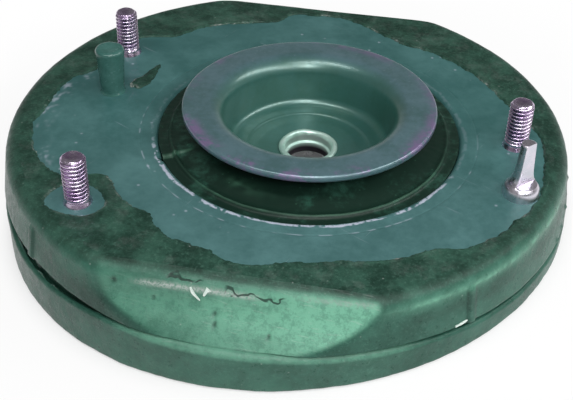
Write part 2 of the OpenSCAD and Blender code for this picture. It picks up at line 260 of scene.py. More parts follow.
def times(tree, first, second):
    return reckon(tree, "MULTIPLY", first, second)


def mapRange(tree, value, low, high, toLow=0.0, toHigh=1.0):
    inputs = {"Value": value, "From Min": low, "From Max": high, "To Min": toLow, "To Max": toHigh}
    return addNode(tree, "MapRange", inputs, interpolation_type="SMOOTHSTEP").outputs["Result"]


def objectSpot(tree):
    return addNode(tree, "TexCoord").outputs["Object"]


# effects that several finishes share
def makeMottle():
    # cloudy patches from two sizes of noise
    inputs = {"Scale": 100.0, "Fine": 5.0, "Low": 0.4, "High": 0.6}
    group, inside, outside = newGroup("mottle", inputs, ("Mask", "Grain"))
    spot = objectSpot(group)
    scale = inside.outputs["Scale"]
    fineScale = times(group, scale, inside.outputs["Fine"])
    broad = addNode(group, "TexNoise", {"Vector": spot, "Scale": scale, "Detail": 6.0,
                                        "Roughness": 0.62})
    fine = addNode(group, "TexNoise", {"Vector": spot, "Scale": fineScale, "Detail": 4.0,
                                       "Roughness": 0.7})
    both = reckon(group, "ADD", times(group, broad.outputs[0], 0.72),
                  times(group, fine.outputs[0], 0.28))
    mask = mapRange(group, both, inside.outputs["Low"], inside.outputs["High"])
    group.links.new(mask, outside.inputs["Mask"])
    group.links.new(fine.outputs[0], outside.inputs["Grain"])
    return group


def makeSpecks():
    # small scattered flecks of dust and chipped paint
    inputs = {"Scale": 400.0, "Size": 0.2, "Share": 0.2}
    group, inside, outside = newGroup("specks", inputs, ("Mask",))
    cells = addNode(group, "TexVoronoi", {"Vector": objectSpot(group),
                                          "Scale": inside.outputs["Scale"]})
    dot = mapRange(group, cells.outputs["Distance"], inside.outputs["Size"], 0.0)
    pick = addNode(group, "SeparateColor", {"Color": cells.outputs["Color"]}).outputs[0]
    chosen = reckon(group, "LESS_THAN", pick, inside.outputs["Share"])
    group.links.new(times(group, dot, chosen), outside.inputs["Mask"])
    return group


def makeScratches():
    # short straight strokes that run one way
    inputs = {"Scale": 60.0, "Turn": 0.5, "Share": 0.62}
    group, inside, outside = newGroup("scratches", inputs, ("Mask",))
    turned = addNode(group, "VectorRotate", {"Vector": objectSpot(group),
                                             "Angle": inside.outputs["Turn"]},
                     rotation_type="Z_AXIS")
    pulled = addNode(group, "VectorMath", {0: turned.outputs[0], 1: (1.0, 16.0, 4.0)},
                     operation="MULTIPLY")
    strokes = addNode(group, "TexNoise", {"Vector": pulled.outputs[0],
                                          "Scale": inside.outputs["Scale"],
                                          "Detail": 2.5, "Roughness": 0.6})
    share = inside.outputs["Share"]
    mask = mapRange(group, strokes.outputs[0], share, reckon(group, "ADD", share, 0.08))
    group.links.new(mask, outside.inputs["Mask"])
    return group


mottle = makeMottle()
specks = makeSpecks()
scratches = makeScratches()
print("shared effects built")


# parts that the finishes are put together from
def newMaterial(name, **sockets):
    material = bpy.data.materials.new(name)
    material.use_nodes = True
    tree = material.node_tree
    shader = tree.nodes["Principled BSDF"]
    for label, value in sockets.items():
        shader.inputs[label.replace("_", " ")].default_value = value
    return material, tree, shader


def dress(tree, shader, base, rough, height, relief, strength=0.6):
    tree.links.new(base, shader.inputs["Base Color"])
    tree.links.new(rough, shader.inputs["Roughness"])
    bump = addNode(tree, "Bump", {"Height": height, "Distance": relief * mm, "Strength": strength})
    tree.links.new(bump.outputs[0], shader.inputs["Normal"])


def maskOf(tree, name):
    return addNode(tree, "Attribute", attribute_name=name).outputs["Fac"]


def rgb(red, green, blue):
    return (red, green, blue, 1.0)


# moulded rubber, for body, skin and flash
# the pale colour serves scuffs, dust, torn edges and marks, and also painted highlights
rubberFinish = {"wall": rgb(0.017, 0.072, 0.050), "pale": rgb(0.038, 0.130, 0.093),
                "dark": rgb(0.008, 0.024, 0.018), "flat": rgb(0.165, 0.420, 0.292),
                "scuffAndGlint": rgb(0.42, 0.45, 0.43), "film": rgb(0.007, 0.031, 0.020),
                "filmPale": rgb(0.030, 0.092, 0.064), "grit": rgb(0.16, 0.32, 0.25),
                "patchy": 0.42, "dust": 0.4, "gritShare": 0.16, "crackShare": 0.85, "marks": 0.22,
                "filmDull": 0.14, "rough": (0.26, 0.44), "relief": 0.16}
# cracks along the top of the front flat: from, to, height, rise, wander, half width
cracks = ((-15.0, -5.6, 28.6, -0.05, 0.8, 0.48), (2.4, 12.5, 26.5, -0.10, 1.1, 0.42),
          (11.0, 20.8, 25.3, 0.03, 0.9, 0.32), (-6.8, -3.4, 27.7, 0.10, 0.6, 0.30))
crackStyle = {"noise": 230.0, "fade": 1.5, "core": 0.4, "frontY": (-60.0, -70.0)}


def crackMask(tree, spot, start, end, level, rise, wander, half):
    # dark wandering line on the front flat, placed in the pieces' millimetres
    axes = addNode(tree, "SeparateXYZ", {0: spot}).outputs
    start, end = (start + drawnFrom[0]) * mm, (end + drawnFrom[0]) * mm
    fade = crackStyle["fade"] * mm
    noise = addNode(tree, "TexNoise", {"Vector": spot, "Scale": crackStyle["noise"], "Detail": 1.5})
    stray = mapRange(tree, noise.outputs[0], 0.25, 0.75, -wander * mm, wander * mm)
    foot = (level + drawnFrom[2]) * mm - rise * start
    line = addNode(tree, "Math", {0: axes["X"], 1: rise, 2: foot},
                   operation="MULTIPLY_ADD").outputs[0]
    off = reckon(tree, "SUBTRACT", axes["Z"], reckon(tree, "ADD", line, stray))
    off = addNode(tree, "Math", {0: off}, operation="ABSOLUTE").outputs[0]
    inside = times(tree, mapRange(tree, axes["X"], start, start + fade),
                   mapRange(tree, axes["X"], end, end - fade))
    inside = times(tree, inside, mapRange(tree, axes["Y"], *(y * mm for y in crackStyle["frontY"])))
    return times(tree, inside, mapRange(tree, off, half * mm, crackStyle["core"] * half * mm))


def makeRubber():
    look = rubberFinish
    material, tree, shader = newMaterial("mouldedRubber", Specular_IOR_Level=0.27)
    cloud = useGroup(tree, mottle, Scale=70.0, Fine=6.0, Low=0.36, High=0.66).outputs
    bloom = useGroup(tree, mottle, Scale=360.0, Fine=4.0, Low=0.40, High=0.66).outputs
    grit = useGroup(tree, mottle, Scale=1100.0, Fine=2.5, Low=0.50, High=0.66).outputs
    blotch = useGroup(tree, mottle, Scale=120.0, Fine=5.0, Low=0.36, High=0.68).outputs
    base = mixColour(tree, cloud["Mask"], look["wall"], look["pale"])
    patchy = mapRange(tree, bloom["Mask"], 0.0, 1.0, 0.0, look["patchy"])
    # the flat mask also carries painted light: the flat's light and shade, and painted highlights
    # on the bead and on the right shoulder
    base = mixColour(tree, maskOf(tree, "flat"), base,
                     mixColour(tree, patchy, look["flat"], look["pale"]))
    # pale scuffs, the mould line and painted highlights, from the scuff mask
    scuffedAndLit = times(tree, maskOf(tree, "scuffAndGlint"), mapRange(tree, bloom["Grain"], 0.3, 0.6))
    base = mixColour(tree, scuffedAndLit, base, look["scuffAndGlint"])
    filmTone = mixColour(tree, blotch["Mask"], look["film"], look["filmPale"])
    base = mixColour(tree, maskOf(tree, "film"), base, filmTone)
    # painted shade, with some grime, darkens the rubber towards the dark colour
    base = mixColour(tree, maskOf(tree, "shadeAndGrime"), base, look["dark"])
    base = mixColour(tree, times(tree, maskOf(tree, "torn"), bloom["Mask"]), base, look["scuffAndGlint"])
    dust = useGroup(tree, specks, Scale=520.0, Size=0.22, Share=0.035).outputs[0]
    base = mixColour(tree, times(tree, dust, look["dust"]), base, look["scuffAndGlint"])
    base = mixColour(tree, times(tree, grit["Mask"], look["gritShare"]), base, look["grit"])
    spot = objectSpot(tree)
    split = crackMask(tree, spot, *cracks[0])
    for crack in cracks[1:]:
        split = reckon(tree, "MAXIMUM", split, crackMask(tree, spot, *crack))
    base = mixColour(tree, times(tree, split, look["crackShare"]), base, look["dark"])
    marks = useGroup(tree, scratches, Scale=190.0, Turn=0.05, Share=0.60).outputs[0]
    marks = times(tree, marks, times(tree, maskOf(tree, "flat"), look["marks"]))
    base = mixColour(tree, marks, base, look["scuffAndGlint"])
    rough = mapRange(tree, cloud["Grain"], 0.3, 0.7, *look["rough"])
    rough = reckon(tree, "ADD", rough, times(tree, maskOf(tree, "film"), look["filmDull"]))
    height = reckon(tree, "SUBTRACT", bloom["Grain"], split)
    dress(tree, shader, base, rough, height, look["relief"], 0.7)
    return material


# thin grey-green paint on the plate
plateFinish = {"paint": rgb(0.031, 0.106, 0.101), "pale": rgb(0.070, 0.178, 0.174),
               "worn": rgb(0.46, 0.50, 0.60), "strokes": 0.22, "dots": 0.5,
               "rough": (0.30, 0.46), "relief": 0.05}


def makePlatePaint():
    look = plateFinish
    material, tree, shader = newMaterial("plateGrey", Specular_IOR_Level=0.3)
    cloud = useGroup(tree, mottle, Scale=45.0, Fine=9.0, Low=0.34, High=0.70).outputs
    base = mixColour(tree, cloud["Mask"], look["paint"], look["pale"])
    strokes = useGroup(tree, scratches, Scale=30.0, Turn=0.5, Share=0.69).outputs[0]
    crossed = useGroup(tree, scratches, Scale=42.0, Turn=2.0, Share=0.70).outputs[0]
    worn = reckon(tree, "ADD", strokes, crossed, True)
    base = mixColour(tree, times(tree, worn, look["strokes"]), base, look["worn"])
    dots = useGroup(tree, specks, Scale=330.0, Size=0.26, Share=0.05).outputs[0]
    base = mixColour(tree, times(tree, dots, look["dots"]), base, look["worn"])
    # the wear mask also paints light on the plate's front
    base = mixColour(tree, maskOf(tree, "wear"), base, look["worn"])
    rough = mapRange(tree, cloud["Grain"], 0.25, 0.75, *look["rough"])
    dress(tree, shader, base, rough, cloud["Grain"], look["relief"], 0.5)
    return material


# paint on the cup, worn to violet flecks at the rim
cupFinish = {"paint": rgb(0.042, 0.160, 0.138), "bowl": rgb(0.030, 0.130, 0.098),
             "rim": rgb(0.108, 0.210, 0.246), "rimDeep": rgb(0.050, 0.140, 0.146),
             "worn": rgb(0.210, 0.155, 0.305), "fleck": rgb(0.22, 0.30, 0.34),
             "flecks": (0.10, 0.42), "rough": (0.30, 0.42), "relief": 0.03}


def makeCupPaint():
    look = cupFinish
    material, tree, shader = newMaterial("cupGrey", Specular_IOR_Level=0.5, Metallic=0.4,
                                         Coat_Weight=1.0, Coat_Roughness=0.31, Coat_IOR=1.7)
    cloud = useGroup(tree, mottle, Scale=60.0, Fine=8.0, Low=0.36, High=0.68).outputs
    base = mixColour(tree, cloud["Mask"], look["paint"], look["bowl"])
    rimTone = mixColour(tree, cloud["Mask"], look["rim"], look["rimDeep"])
    base = mixColour(tree, maskOf(tree, "rim"), base, rimTone)
    patch = useGroup(tree, mottle, Scale=75.0, Fine=9.0, Low=0.48, High=0.62).outputs
    base = mixColour(tree, times(tree, maskOf(tree, "wear"), patch["Mask"]), base, look["worn"])
    dots = useGroup(tree, specks, Scale=640.0, Size=0.36, Share=0.30).outputs[0]
    dots = times(tree, dots, mapRange(tree, maskOf(tree, "rim"), 0.0, 1.0, *look["flecks"]))
    base = mixColour(tree, dots, base, look["fleck"])
    rough = mapRange(tree, cloud["Grain"], 0.25, 0.75, *look["rough"])
    dress(tree, shader, base, rough, cloud["Grain"], look["relief"])
    return material


# black rubber of the bush, with a painted sheen and painted highlights
bushFinish = {"dark": rgb(0.006, 0.023, 0.015), "sheen": rgb(0.031, 0.098, 0.069),
              "bead": rgb(0.085, 0.24, 0.15), "dots": 0.3, "rough": (0.46, 0.22), "relief": 0.06}


def makeBushRubber():
    look = bushFinish
    material, tree, shader = newMaterial("bushRubber", Specular_IOR_Level=0.28)
    cloud = useGroup(tree, mottle, Scale=60.0, Fine=7.0, Low=0.49, High=0.68).outputs
    # painted sheen in cloudy patches
    base = mixColour(tree, cloud["Mask"], look["dark"], look["sheen"])
    # painted highlights along the bead and at the step, and a painted reflection in front
    base = mixColour(tree, maskOf(tree, "bead"), base, look["bead"])
    dots = useGroup(tree, specks, Scale=700.0, Size=0.30, Share=0.12).outputs[0]
    base = mixColour(tree, times(tree, dots, look["dots"]), base, look["bead"])
    rough = mapRange(tree, cloud["Mask"], 0.0, 1.0, *look["rough"])
    dress(tree, shader, base, rough, cloud["Grain"], look["relief"])
    return material


def makePlated(name, first, second, rough, scale, hollowTone=None, metal=1.0, relief=0.03):
    material, tree, shader = newMaterial(name, Metallic=metal)
    cloud = useGroup(tree, mottle, Scale=scale, Fine=5.0, Low=0.38, High=0.64).outputs
    base = mixColour(tree, cloud["Mask"], first, second)
    if hollowTone:
        # darker in hollows, towards the given dark colour
        base = mixColour(tree, maskOf(tree, "hollowDark"), base, hollowTone)
    rough = mapRange(tree, cloud["Grain"], 0.3, 0.7, *rough)
    dress(tree, shader, base, rough, cloud["Grain"], relief)
    return material


# dust on the painted and moulded finishes
coatDust = {"colour": rgb(0.35, 0.40, 0.38), "share": 0.35, "relief": 0.05}


def makeCoated(name, first, second, rough, scale, level=0.5):
    material, tree, shader = newMaterial(name, Specular_IOR_Level=level)
    cloud = useGroup(tree, mottle, Scale=scale, Fine=5.0, Low=0.38, High=0.66).outputs
    base = mixColour(tree, cloud["Mask"], first, second)
    dots = useGroup(tree, specks, Scale=500.0, Size=0.3, Share=0.05).outputs[0]
    base = mixColour(tree, times(tree, dots, coatDust["share"]), base, coatDust["colour"])
    rough = mapRange(tree, cloud["Grain"], 0.3, 0.7, *rough)
    dress(tree, shader, base, rough, cloud["Grain"], coatDust["relief"])
    return material


rubberLook = makeRubber()
plateLook = makePlatePaint()
cupLook = makeCupPaint()
bushLook = makeBushRubber()
studLook = makePlated("studZinc", rgb(0.56, 0.41, 0.64), rgb(0.80, 0.71, 0.84),
                      (0.16, 0.32), 180.0, hollowTone=rgb(0.06, 0.035, 0.09))
pinPaintLook = makeCoated("pinGreen", rgb(0.034, 0.115, 0.098), rgb(0.060, 0.165, 0.145),
                          (0.14, 0.28), 160.0, level=0.45)
pinZincLook = makePlated("pinZinc", rgb(0.66, 0.68, 0.75), rgb(0.80, 0.74, 0.83),
                         (0.24, 0.38), 160.0, relief=0.01)
sleeveLook = makePlated("sleeveZinc", rgb(0.50, 0.74, 0.65), rgb(0.68, 0.88, 0.80),
                        (0.28, 0.42), 90.0, hollowTone=rgb(0.050, 0.046, 0.058),
                        metal=0.6, relief=0.006)
hubLook = makeCoated("hubPaint", rgb(0.060, 0.085, 0.085), rgb(0.100, 0.130, 0.130),
                     (0.35, 0.55), 90.0)
raceLook = makePlated("raceSteel", rgb(0.50, 0.51, 0.52), rgb(0.62, 0.62, 0.64),
                      (0.22, 0.38), 120.0)
ballLook = makePlated("ballSteel", rgb(0.74, 0.74, 0.76), rgb(0.82, 0.82, 0.84),
                      (0.06, 0.12), 300.0)
cageLook = makeCoated("cageNylon", rgb(0.42, 0.37, 0.26), rgb(0.52, 0.47, 0.35),
                      (0.45, 0.60), 150.0)
shredLook = makeCoated("paleFlash", rgb(0.55, 0.66, 0.60), rgb(0.78, 0.84, 0.80),
                       (0.40, 0.60), 300.0)
sealLook = makeCoated("sealRubber", rgb(0.018, 0.020, 0.019), rgb(0.035, 0.040, 0.038),
                      (0.45, 0.62), 150.0)
print("materials built")


# moulded rubber body: sloping flange, groove, wall, leaning flats, shoulder, recess underneath
body = {"columns": 1152, "frontShare": 1.2, "sharp": 62, "flangeR": 98.0, "lowest": -8.2,
        "slope": 3.7, "edgeRound": 1.2, "beadRound": 2.3, "footR": 97.8, "wallLow": 13.1,
        "wallTop": 24.7, "draft": 1.8, "shoulderR": 91.0, "shoulderRound": 5.0, "grooveDepth": 1.6,
        "grooveExtra": 0.8, "grooveSag": 0.9, "recessR": 78.0, "recessZ": 15.7, "bossR": 58.9,
        "bossZ": 10.2, "collarR": 54.95, "plateR": 91.05, "plateHalf": 79.45, "plateUnder": 25.65,
        "flatHalf": 84.0, "flatChange": (-10.0, 44.0), "cornerSoft": 2.4, "cornerSharper": 1.2,
        "ribs": (-45.0, -134.0), "ribHalf": 1.5, "ribHeight": 0.7, "ribTop": (24.2, 25.6),
        "pitDepth": 0.6, "swell": ((0.16, 16.0, 3), (0.06, 4.0, 4), (0.04, 1.6, 5)),
        "flangeSwell": ((0.14, 9.0, 6), (0.07, 2.4, 7)), "fin": ((0.9, 3.0, 8), (0.6, 1.1, 10))}
# bearings at which something starts, is whole, begins to end and has ended
bodySpans = {"front": (-114, -103, -66, -50), "frontShut": (-112, -104, -82, -70),
             "rearShut": (70, 82, 98, 110), "deepGroove": (-178, -160, -122, -108),
             "closeColumns": (-136, -126, -54, -44), "leftShade": (-134, -120, -108, -100),
             "farShade": (-176, -160, -138, -128), "rightShade": (-64, -54, -12, 4),
             "rubbedLitRight": (-66, -54, -20, -4)}
# the same along the front flat, in millimetres
flatSpans = {"scuffAndGlint": (-27, -18, 8, 16), "glintStreak": (18, 34, 44, 49), "crease": (-36, -30, 40, 48)}
# strength of each mark in the finish; several are painted light: the shade on the wall, in the
# groove and pits, beside the ribs and under the crease, and the highlights on the bead, along the
# flat's top and on the right shoulder
bodyMarks = {"toneLow": 0.19, "toneRise": 0.80, "toneMiddle": 0.10, "toneFoot": 0.22,
             "toneTop": 0.55, "tone": ((0.10, 9.0, 12), (0.06, 2.5, 14)), "bead": 0.46,
             "flange": 0.05, "scuffAndGlint": 0.95, "glintStreak": 0.45, "crease": 0.30, "leftShade": 0.55,
             "farShade": 0.22, "rightShade": 0.32, "creaseShadow": 0.55, "ribShade": 0.5,
             "groove": 0.75, "deepGroove": 0.15, "deepLedge": 0.55, "ledge": 0.25, "cleanFin": 0.7,
             "pits": 0.8, "rubbedSheen": 0.34, "rubbedSheenLine": 0.46}
# pits in the front flat and stray nubs of flash: (x, height, size) and (bearing, height, size)
pits = ((-30.2, 25.1, 0.9), (0.5, 19.6, 0.6), (0.9, 17.4, 0.7), (-18.0, 21.6, 0.5),
        (17.0, 16.4, 0.6))
nubs = ((-176.0, 19.5, 0.9), (-170.5, 15.6, 0.7), (-167.0, 13.9, 0.6), (-1.0, 21.4, 0.5),
        (-4.6, 18.9, 0.3), (-7.4, 17.2, 0.7), (-9.6, 16.0, 0.3), (-12.0, 14.9, 0.4),
        (-15.5, 13.4, 0.6), (24.0, 20.0, 0.7))
# heights of the flange's upper edge and of the wall's foot: bearing from the body's axis, height
flangeEdge = ((-180, 10.2), (-160, 9.6), (-146, 8.8), (-136, 8.0), (-128, 8.8), (-120, 10.6),
              (-112, 12.0), (-100, 12.7), (-85, 12.8), (-70, 12.7), (-58, 12.0), (-46, 10.9),
              (-20, 10.4), (40, 10.4), (60, 11.4), (75, 12.5), (105, 12.5), (120, 11.4),
              (140, 10.3))
wallFoot = ((-180, 13.2), (-160, 13.8), (-140, 14.6), (-125, 14.6), (-115, 14.0), (-100, 13.3),
            (-60, 13.5), (-40, 12.7), (0, 12.4), (40, 12.5), (90, 13.2), (140, 12.8))
# section of the flats, drop below the skin against distance from the middle, at the two ends
flatDrop = (0.0, 0.9, 2.0, 3.4, 5.5, 8.2, 10.4, 12.5, 14.5, 16.5, 18.2)
flatLeft = (82.0, 84.1, 85.6, 86.6, 87.3, 88.2, 89.6, 91.6, 93.5, 95.4, 97.2)
flatRight = (82.4, 83.4, 84.3, 85.1, 86.2, 87.9, 89.5, 91.3, 93.2, 95.3, 97.2)


def reach(turns, start, axis, radius):
    # distance from one axis to a circle round another, along each bearing
    shift = start - axis
    along = shift[0] * np.cos(turns) + shift[1] * np.sin(turns)
    return -along + np.sqrt(along**2 - shift @ shift + radius**2)


def wallReach(z):
    low, top, roll = body["wallLow"], body["wallTop"], body["shoulderRound"]
    lean = body["footR"] - body["draft"] * np.clip((z - low) / (top - low), 0, 1)
    over = np.clip(z - top, 0, roll)
    return np.where(z > top, body["shoulderR"] + np.sqrt(roll**2 - over**2), lean)


def flatReach(turns, z):
    drop = np.clip(skinTop - z, 0, flatDrop[-1])
    across = np.abs(np.sin(turns))
    along = bodyAxis[0] + body["flatHalf"] * np.cos(turns) / np.maximum(across, 0.2)
    share = ease(along, *body["flatChange"])
    left, right = (curveThrough(drop, flatDrop, section) for section in (flatLeft, flatRight))
    half = (1 - share) * left + share * right
    return half / np.maximum(across, 0.05)


def sideReach(turns, z, outer):
    # wall and flat together, with a softer corner at the left end of the flats
    corner = body["cornerSoft"] - body["cornerSharper"] * ease(np.cos(turns), -0.3, 0.3)
    return softMin(outer, flatReach(turns, z), corner)


def plateReach(turns):
    return np.minimum(body["plateR"], body["plateHalf"] / np.maximum(np.abs(np.sin(turns)), 0.05))


def underHeight(turns, radius):
    rise = math.tan(math.radians(body["slope"]))
    return body["lowest"] + (body["flangeR"] + radius * np.cos(turns)) * rise


def bodyTurns():
    # bearings that stand closer together round the front flat
    even = np.linspace(-180, 180, 7201)
    weight = np.cumsum(1 + body["frontShare"] * window(even, *bodySpans["closeColumns"]))
    steps = np.linspace(weight[0], weight[-1], body["columns"] + 1)[:-1]
    return np.radians(np.interp(steps, weight, even))


def besideRib(degrees, bearing):
    # distance along the wall from a rib or nub
    return np.radians((degrees - bearing + 180) % 360 - 180) * body["footR"]


def bodyRows(shape):
    # rows of (distance, height, kind), from the collar's pocket round to the plate's edge
    turns, edgeZ, footZ = shape.turns, shape.edgeZ, shape.footZ
    one = np.ones(body["columns"])
    rows = []

    def add(distance, z, kind):
        rows.append((distance * one, z * one, kind))

    collar, boss, bossZ, recessZ = body["collarR"], body["bossR"], body["bossZ"], body["recessZ"]
    for radius, z in ((collar, body["plateUnder"]), (collar, bossZ + 0.6), (collar + 0.6, bossZ),
                      (boss - 0.7, bossZ), (boss, bossZ + 0.7), (boss, recessZ - 0.7),
                      (boss + 0.8, recessZ)):
        add(reach(turns, bodyAxis, centreAxis, radius), z, "under")
    inner, outer = body["recessR"], body["flangeR"]
    add(inner - 2.8, recessZ, "under")
    add(inner - 1.9, recessZ - 0.8, "under")
    add(inner, underHeight(turns, inner) + 0.8, "under")
    add(inner + 0.8, underHeight(turns, inner + 0.8), "under")
    sideLow = underHeight(turns, outer) + 1.0
    for out, up in arcPoints(-1.0, 0.0, 1.0, -90, 0, 5):
        add(outer + out, sideLow + up, "flange")
    edge = body["edgeRound"] + (body["beadRound"] - body["edgeRound"]) * shape.front
    sideHigh = edgeZ - edge
    for share in np.linspace(0, 1, 9)[1:-1]:
        add(outer, sideLow + (sideHigh - sideLow) * share, "flange")
    for out, up in arcPoints(0.0, 0.0, 1.0, 0, 90, 9):
        add(outer - edge + edge * out, sideHigh + edge * up, "flange")
    lip = rows[-1][0]
    depth = body["grooveDepth"] * (1 - shape.shut) + body["grooveExtra"] * shape.deep
    foot = np.minimum(sideReach(turns, edgeZ, body["footR"] - depth), lip)
    for share in np.linspace(0, 1, 6)[1:]:
        sag = body["grooveSag"] * shape.deep * ease(share, 0.2, 0.8)
        add(lip + (foot - lip) * share, edgeZ - sag, "ledge")
    for share in (0.25, 0.5, 0.7, 0.85):
        z = edgeZ + (footZ - edgeZ) * share
        rim = body["footR"] - depth * (1 - ease(share, 0.60, 1.0))
        add(np.minimum(sideReach(turns, z, rim), foot + 0.4 + depth), z, "groove")
    for share in np.linspace(0, 1, 21)[:-1]:
        z = footZ + (body["wallTop"] - footZ) * share
        add(sideReach(turns, z, wallReach(z)), z, "wall")
    for turn in np.radians(np.linspace(0, 90, 13)):
        z = (body["wallTop"] + body["shoulderRound"] * math.sin(turn)) * one
        add(sideReach(turns, z, wallReach(z)), z, "wall")
    add(plateReach(turns), plateTop + 0.05, "under")
    add(plateReach(turns), body["plateUnder"], "under")
    shape.edge, shape.lip = edge, lip
    return rows


def roughenBody(shape, rows):
    # swells, ribs, nubs, pits and a torn fin of flash on the plain rows
    degrees = shape.degrees
    points, distance, height = ringPoints(rows, shape.turns, bodyAxis)
    kinds = np.array([row[2] for row in rows])[:, None]
    names = ("wall", "ledge", "flange", "groove")
    wall, ledge, flange, groove = ((kinds == name) * 1.0 for name in names)
    behind = wallReach(height) - flatReach(shape.turns, height)
    onFlat = ease(behind, -0.3, 1.2) * (wall + groove * shape.shut)
    swell = (kinds != "under") * layers(points, body["swell"])
    swell = swell + flange * layers(points, body["flangeSwell"])
    for bearing in body["ribs"]:
        off = np.abs(besideRib(degrees, bearing))
        rib = body["ribHeight"] * (1 - ease(off, body["ribHalf"] - 0.5, body["ribHalf"] + 0.3))
        swell += (wall + groove) * rib * (1 - ease(height, *body["ribTop"])) * (1 - onFlat)
    for bearing, level, size in nubs:
        off = np.hypot(besideRib(degrees, bearing), height - level)
        swell += (wall + groove) * size * bell(off, 0.5 + 0.5 * size)
    dents = sum(bell(np.hypot(points[..., 0] - x, height - level), size) for x, level, size in pits)
    dents = dents * onFlat * (points[..., 1] < 0)
    fade = 1 - ease(height, plateTop, skinTop)
    distance = distance + np.where(wall > 0, fade, 1.0) * swell - body["pitDepth"] * dents
    fin = np.clip(0.35 + layers(points, body["fin"]), 0, 1.6)
    outermost = ledge * ease(distance, shape.lip - 1.6, shape.lip - 0.3)
    height = height + outermost * shape.deep * fin + ledge * 0.12 * lumps(points, 2.0, 9)
    shape.points, _, shape.height = ringPoints(list(zip(distance, height)), shape.turns, bodyAxis)
    shape.wall, shape.ledge, shape.flange, shape.groove = wall, ledge, flange, groove
    shape.onFlat, shape.dents, shape.fin, shape.outermost = onFlat, dents, fin, outermost


def paintBody(piece, shape):
    points, height, degrees = shape.points, shape.height, shape.degrees
    wall, ledge, flange, groove = shape.wall, shape.ledge, shape.flange, shape.groove
    front, deep, onFlat = shape.front, shape.deep, shape.onFlat
    roundWall = (1 - onFlat) * wall
    drop = skinTop - height
    along = points[..., 0]
    here = onFlat * (points[..., 1] < 0)
    mark = bodyMarks
    # paler rubber of the front flat, with painted light making it lighter towards its right end and
    # darker at its top; it is also a little paler in the middle and darker at the foot. A painted
    # highlight on the flange's bead, with painted light on the flange's face in front. A rubbed,
    # paler shoulder on the right with a painted highlight along it
    tone = mark["toneLow"] + mark["toneRise"] * ease(along, -38.0, 46.0)
    tone += mark["toneMiddle"] * ease(drop, 4.0, 8.0) - mark["toneFoot"] * ease(drop, 10.0, 16.0)
    tone = np.clip(tone + layers(points, mark["tone"]), 0, 1)
    top = ease(drop, 1.0, 3.6 - 0.8 * ease(along, 0, 40))
    tone = tone * (mark["toneTop"] + (1 - mark["toneTop"]) * top)
    upperEdge = ease(height, shape.edgeZ - 1.1 * shape.edge, shape.edgeZ - 0.4 * shape.edge)
    bead = mark["bead"] * front * (flange * upperEdge + ledge) + mark["flange"] * front * flange
    right = window(degrees, *bodySpans["rubbedLitRight"])
    crest = drop - 4.2 - 0.5 * lumps(points, 10.0, 18)
    rubbedSheen = mark["rubbedSheen"] * bell(crest, 1.8)
    rubbedSheen += mark["rubbedSheenLine"] * bell(crest, 0.6) * ease(lumps(points, 2.0, 19), -0.6, 0.6)
    paintMask(piece, "flat", np.clip(onFlat * tone + bead + rubbedSheen * right * roundWall, 0, 1))
    # pale scuffs with a painted highlight band along the top of the front flat, a painted highlight
    # streak at its right end, the pale mould line at the crease, and a trace of the bead's painted
    # highlight
    scuffGlintBand = bell(drop - 3.9 - 0.5 * lumps(points, 14.0, 11), 0.75)
    glintStreak = bell(drop - 2.6 - 0.3 * lumps(points, 9.0, 13), 0.6)
    scuffAndGlint = mark["scuffAndGlint"] * scuffGlintBand * window(along, *flatSpans["scuffAndGlint"])
    scuffAndGlint += mark["glintStreak"] * glintStreak * window(along, *flatSpans["glintStreak"])
    scuffAndGlint += mark["crease"] * bell(drop - 0.2, 0.25) * window(along, *flatSpans["crease"])
    paintMask(piece, "scuffAndGlint", np.clip(here * np.clip(scuffAndGlint, 0, 1) + 0.08 * bead, 0, 1))
    # painted shade in the groove, on the ledge, beside the ribs and in the pits, a painted shadow
    # under the crease, and painted shade where the wall turns away from the light
    shade = mark["leftShade"] * window(degrees, *bodySpans["leftShade"])
    shade = shade + mark["farShade"] * window(degrees, *bodySpans["farShade"])
    shade = shade * ease(drop, 4.0, 12.0)
    shade += mark["rightShade"] * bell(drop - 9.5, 2.6) * window(degrees, *bodySpans["rightShade"])
    creaseShadow = mark["creaseShadow"] * bell(drop - 0.9, 0.35)
    creaseShadow = creaseShadow * ease(lumps(points, 7.0, 15), -0.5, 0.3)
    ribShade = sum(bell(np.abs(besideRib(degrees, bearing)) - body["ribHalf"], 0.5)
                  for bearing in body["ribs"])
    ribShade = mark["ribShade"] * ribShade * (wall + groove) * (1 - ease(height, 24, 25.5))
    shadeAndGrime = groove * (1 - 0.75 * onFlat) * (mark["groove"] - mark["deepGroove"] * deep)
    shadeAndGrime += ledge * (mark["deepLedge"] * deep + mark["ledge"] * (1 - front) * (1 - deep))
    shadeAndGrime -= mark["cleanFin"] * shape.outermost * deep * ease(shape.fin, 0.5, 1.2)
    shadeAndGrime += shade * roundWall + here * creaseShadow + ribShade * (1 - onFlat)
    shadeAndGrime += mark["pits"] * shape.dents
    paintMask(piece, "shadeAndGrime", np.clip(shadeAndGrime, 0, 1))
    # dark film over the shoulder, which ends higher up on the right and on the flats
    soft = 4.6 - 2.6 * right + (2.0 - right) * lumps(points, 12.0, 16)
    soft = soft + lumps(points, 3.0, 17)
    flatFilm = ease(drop, 1.3 + 0.9 * ease(along, -20, 20), 0.3)
    film = ease(drop, soft, 0.1) * (1 - onFlat) + onFlat * flatFilm
    paintMask(piece, "film", np.clip(wall * film, 0, 1))


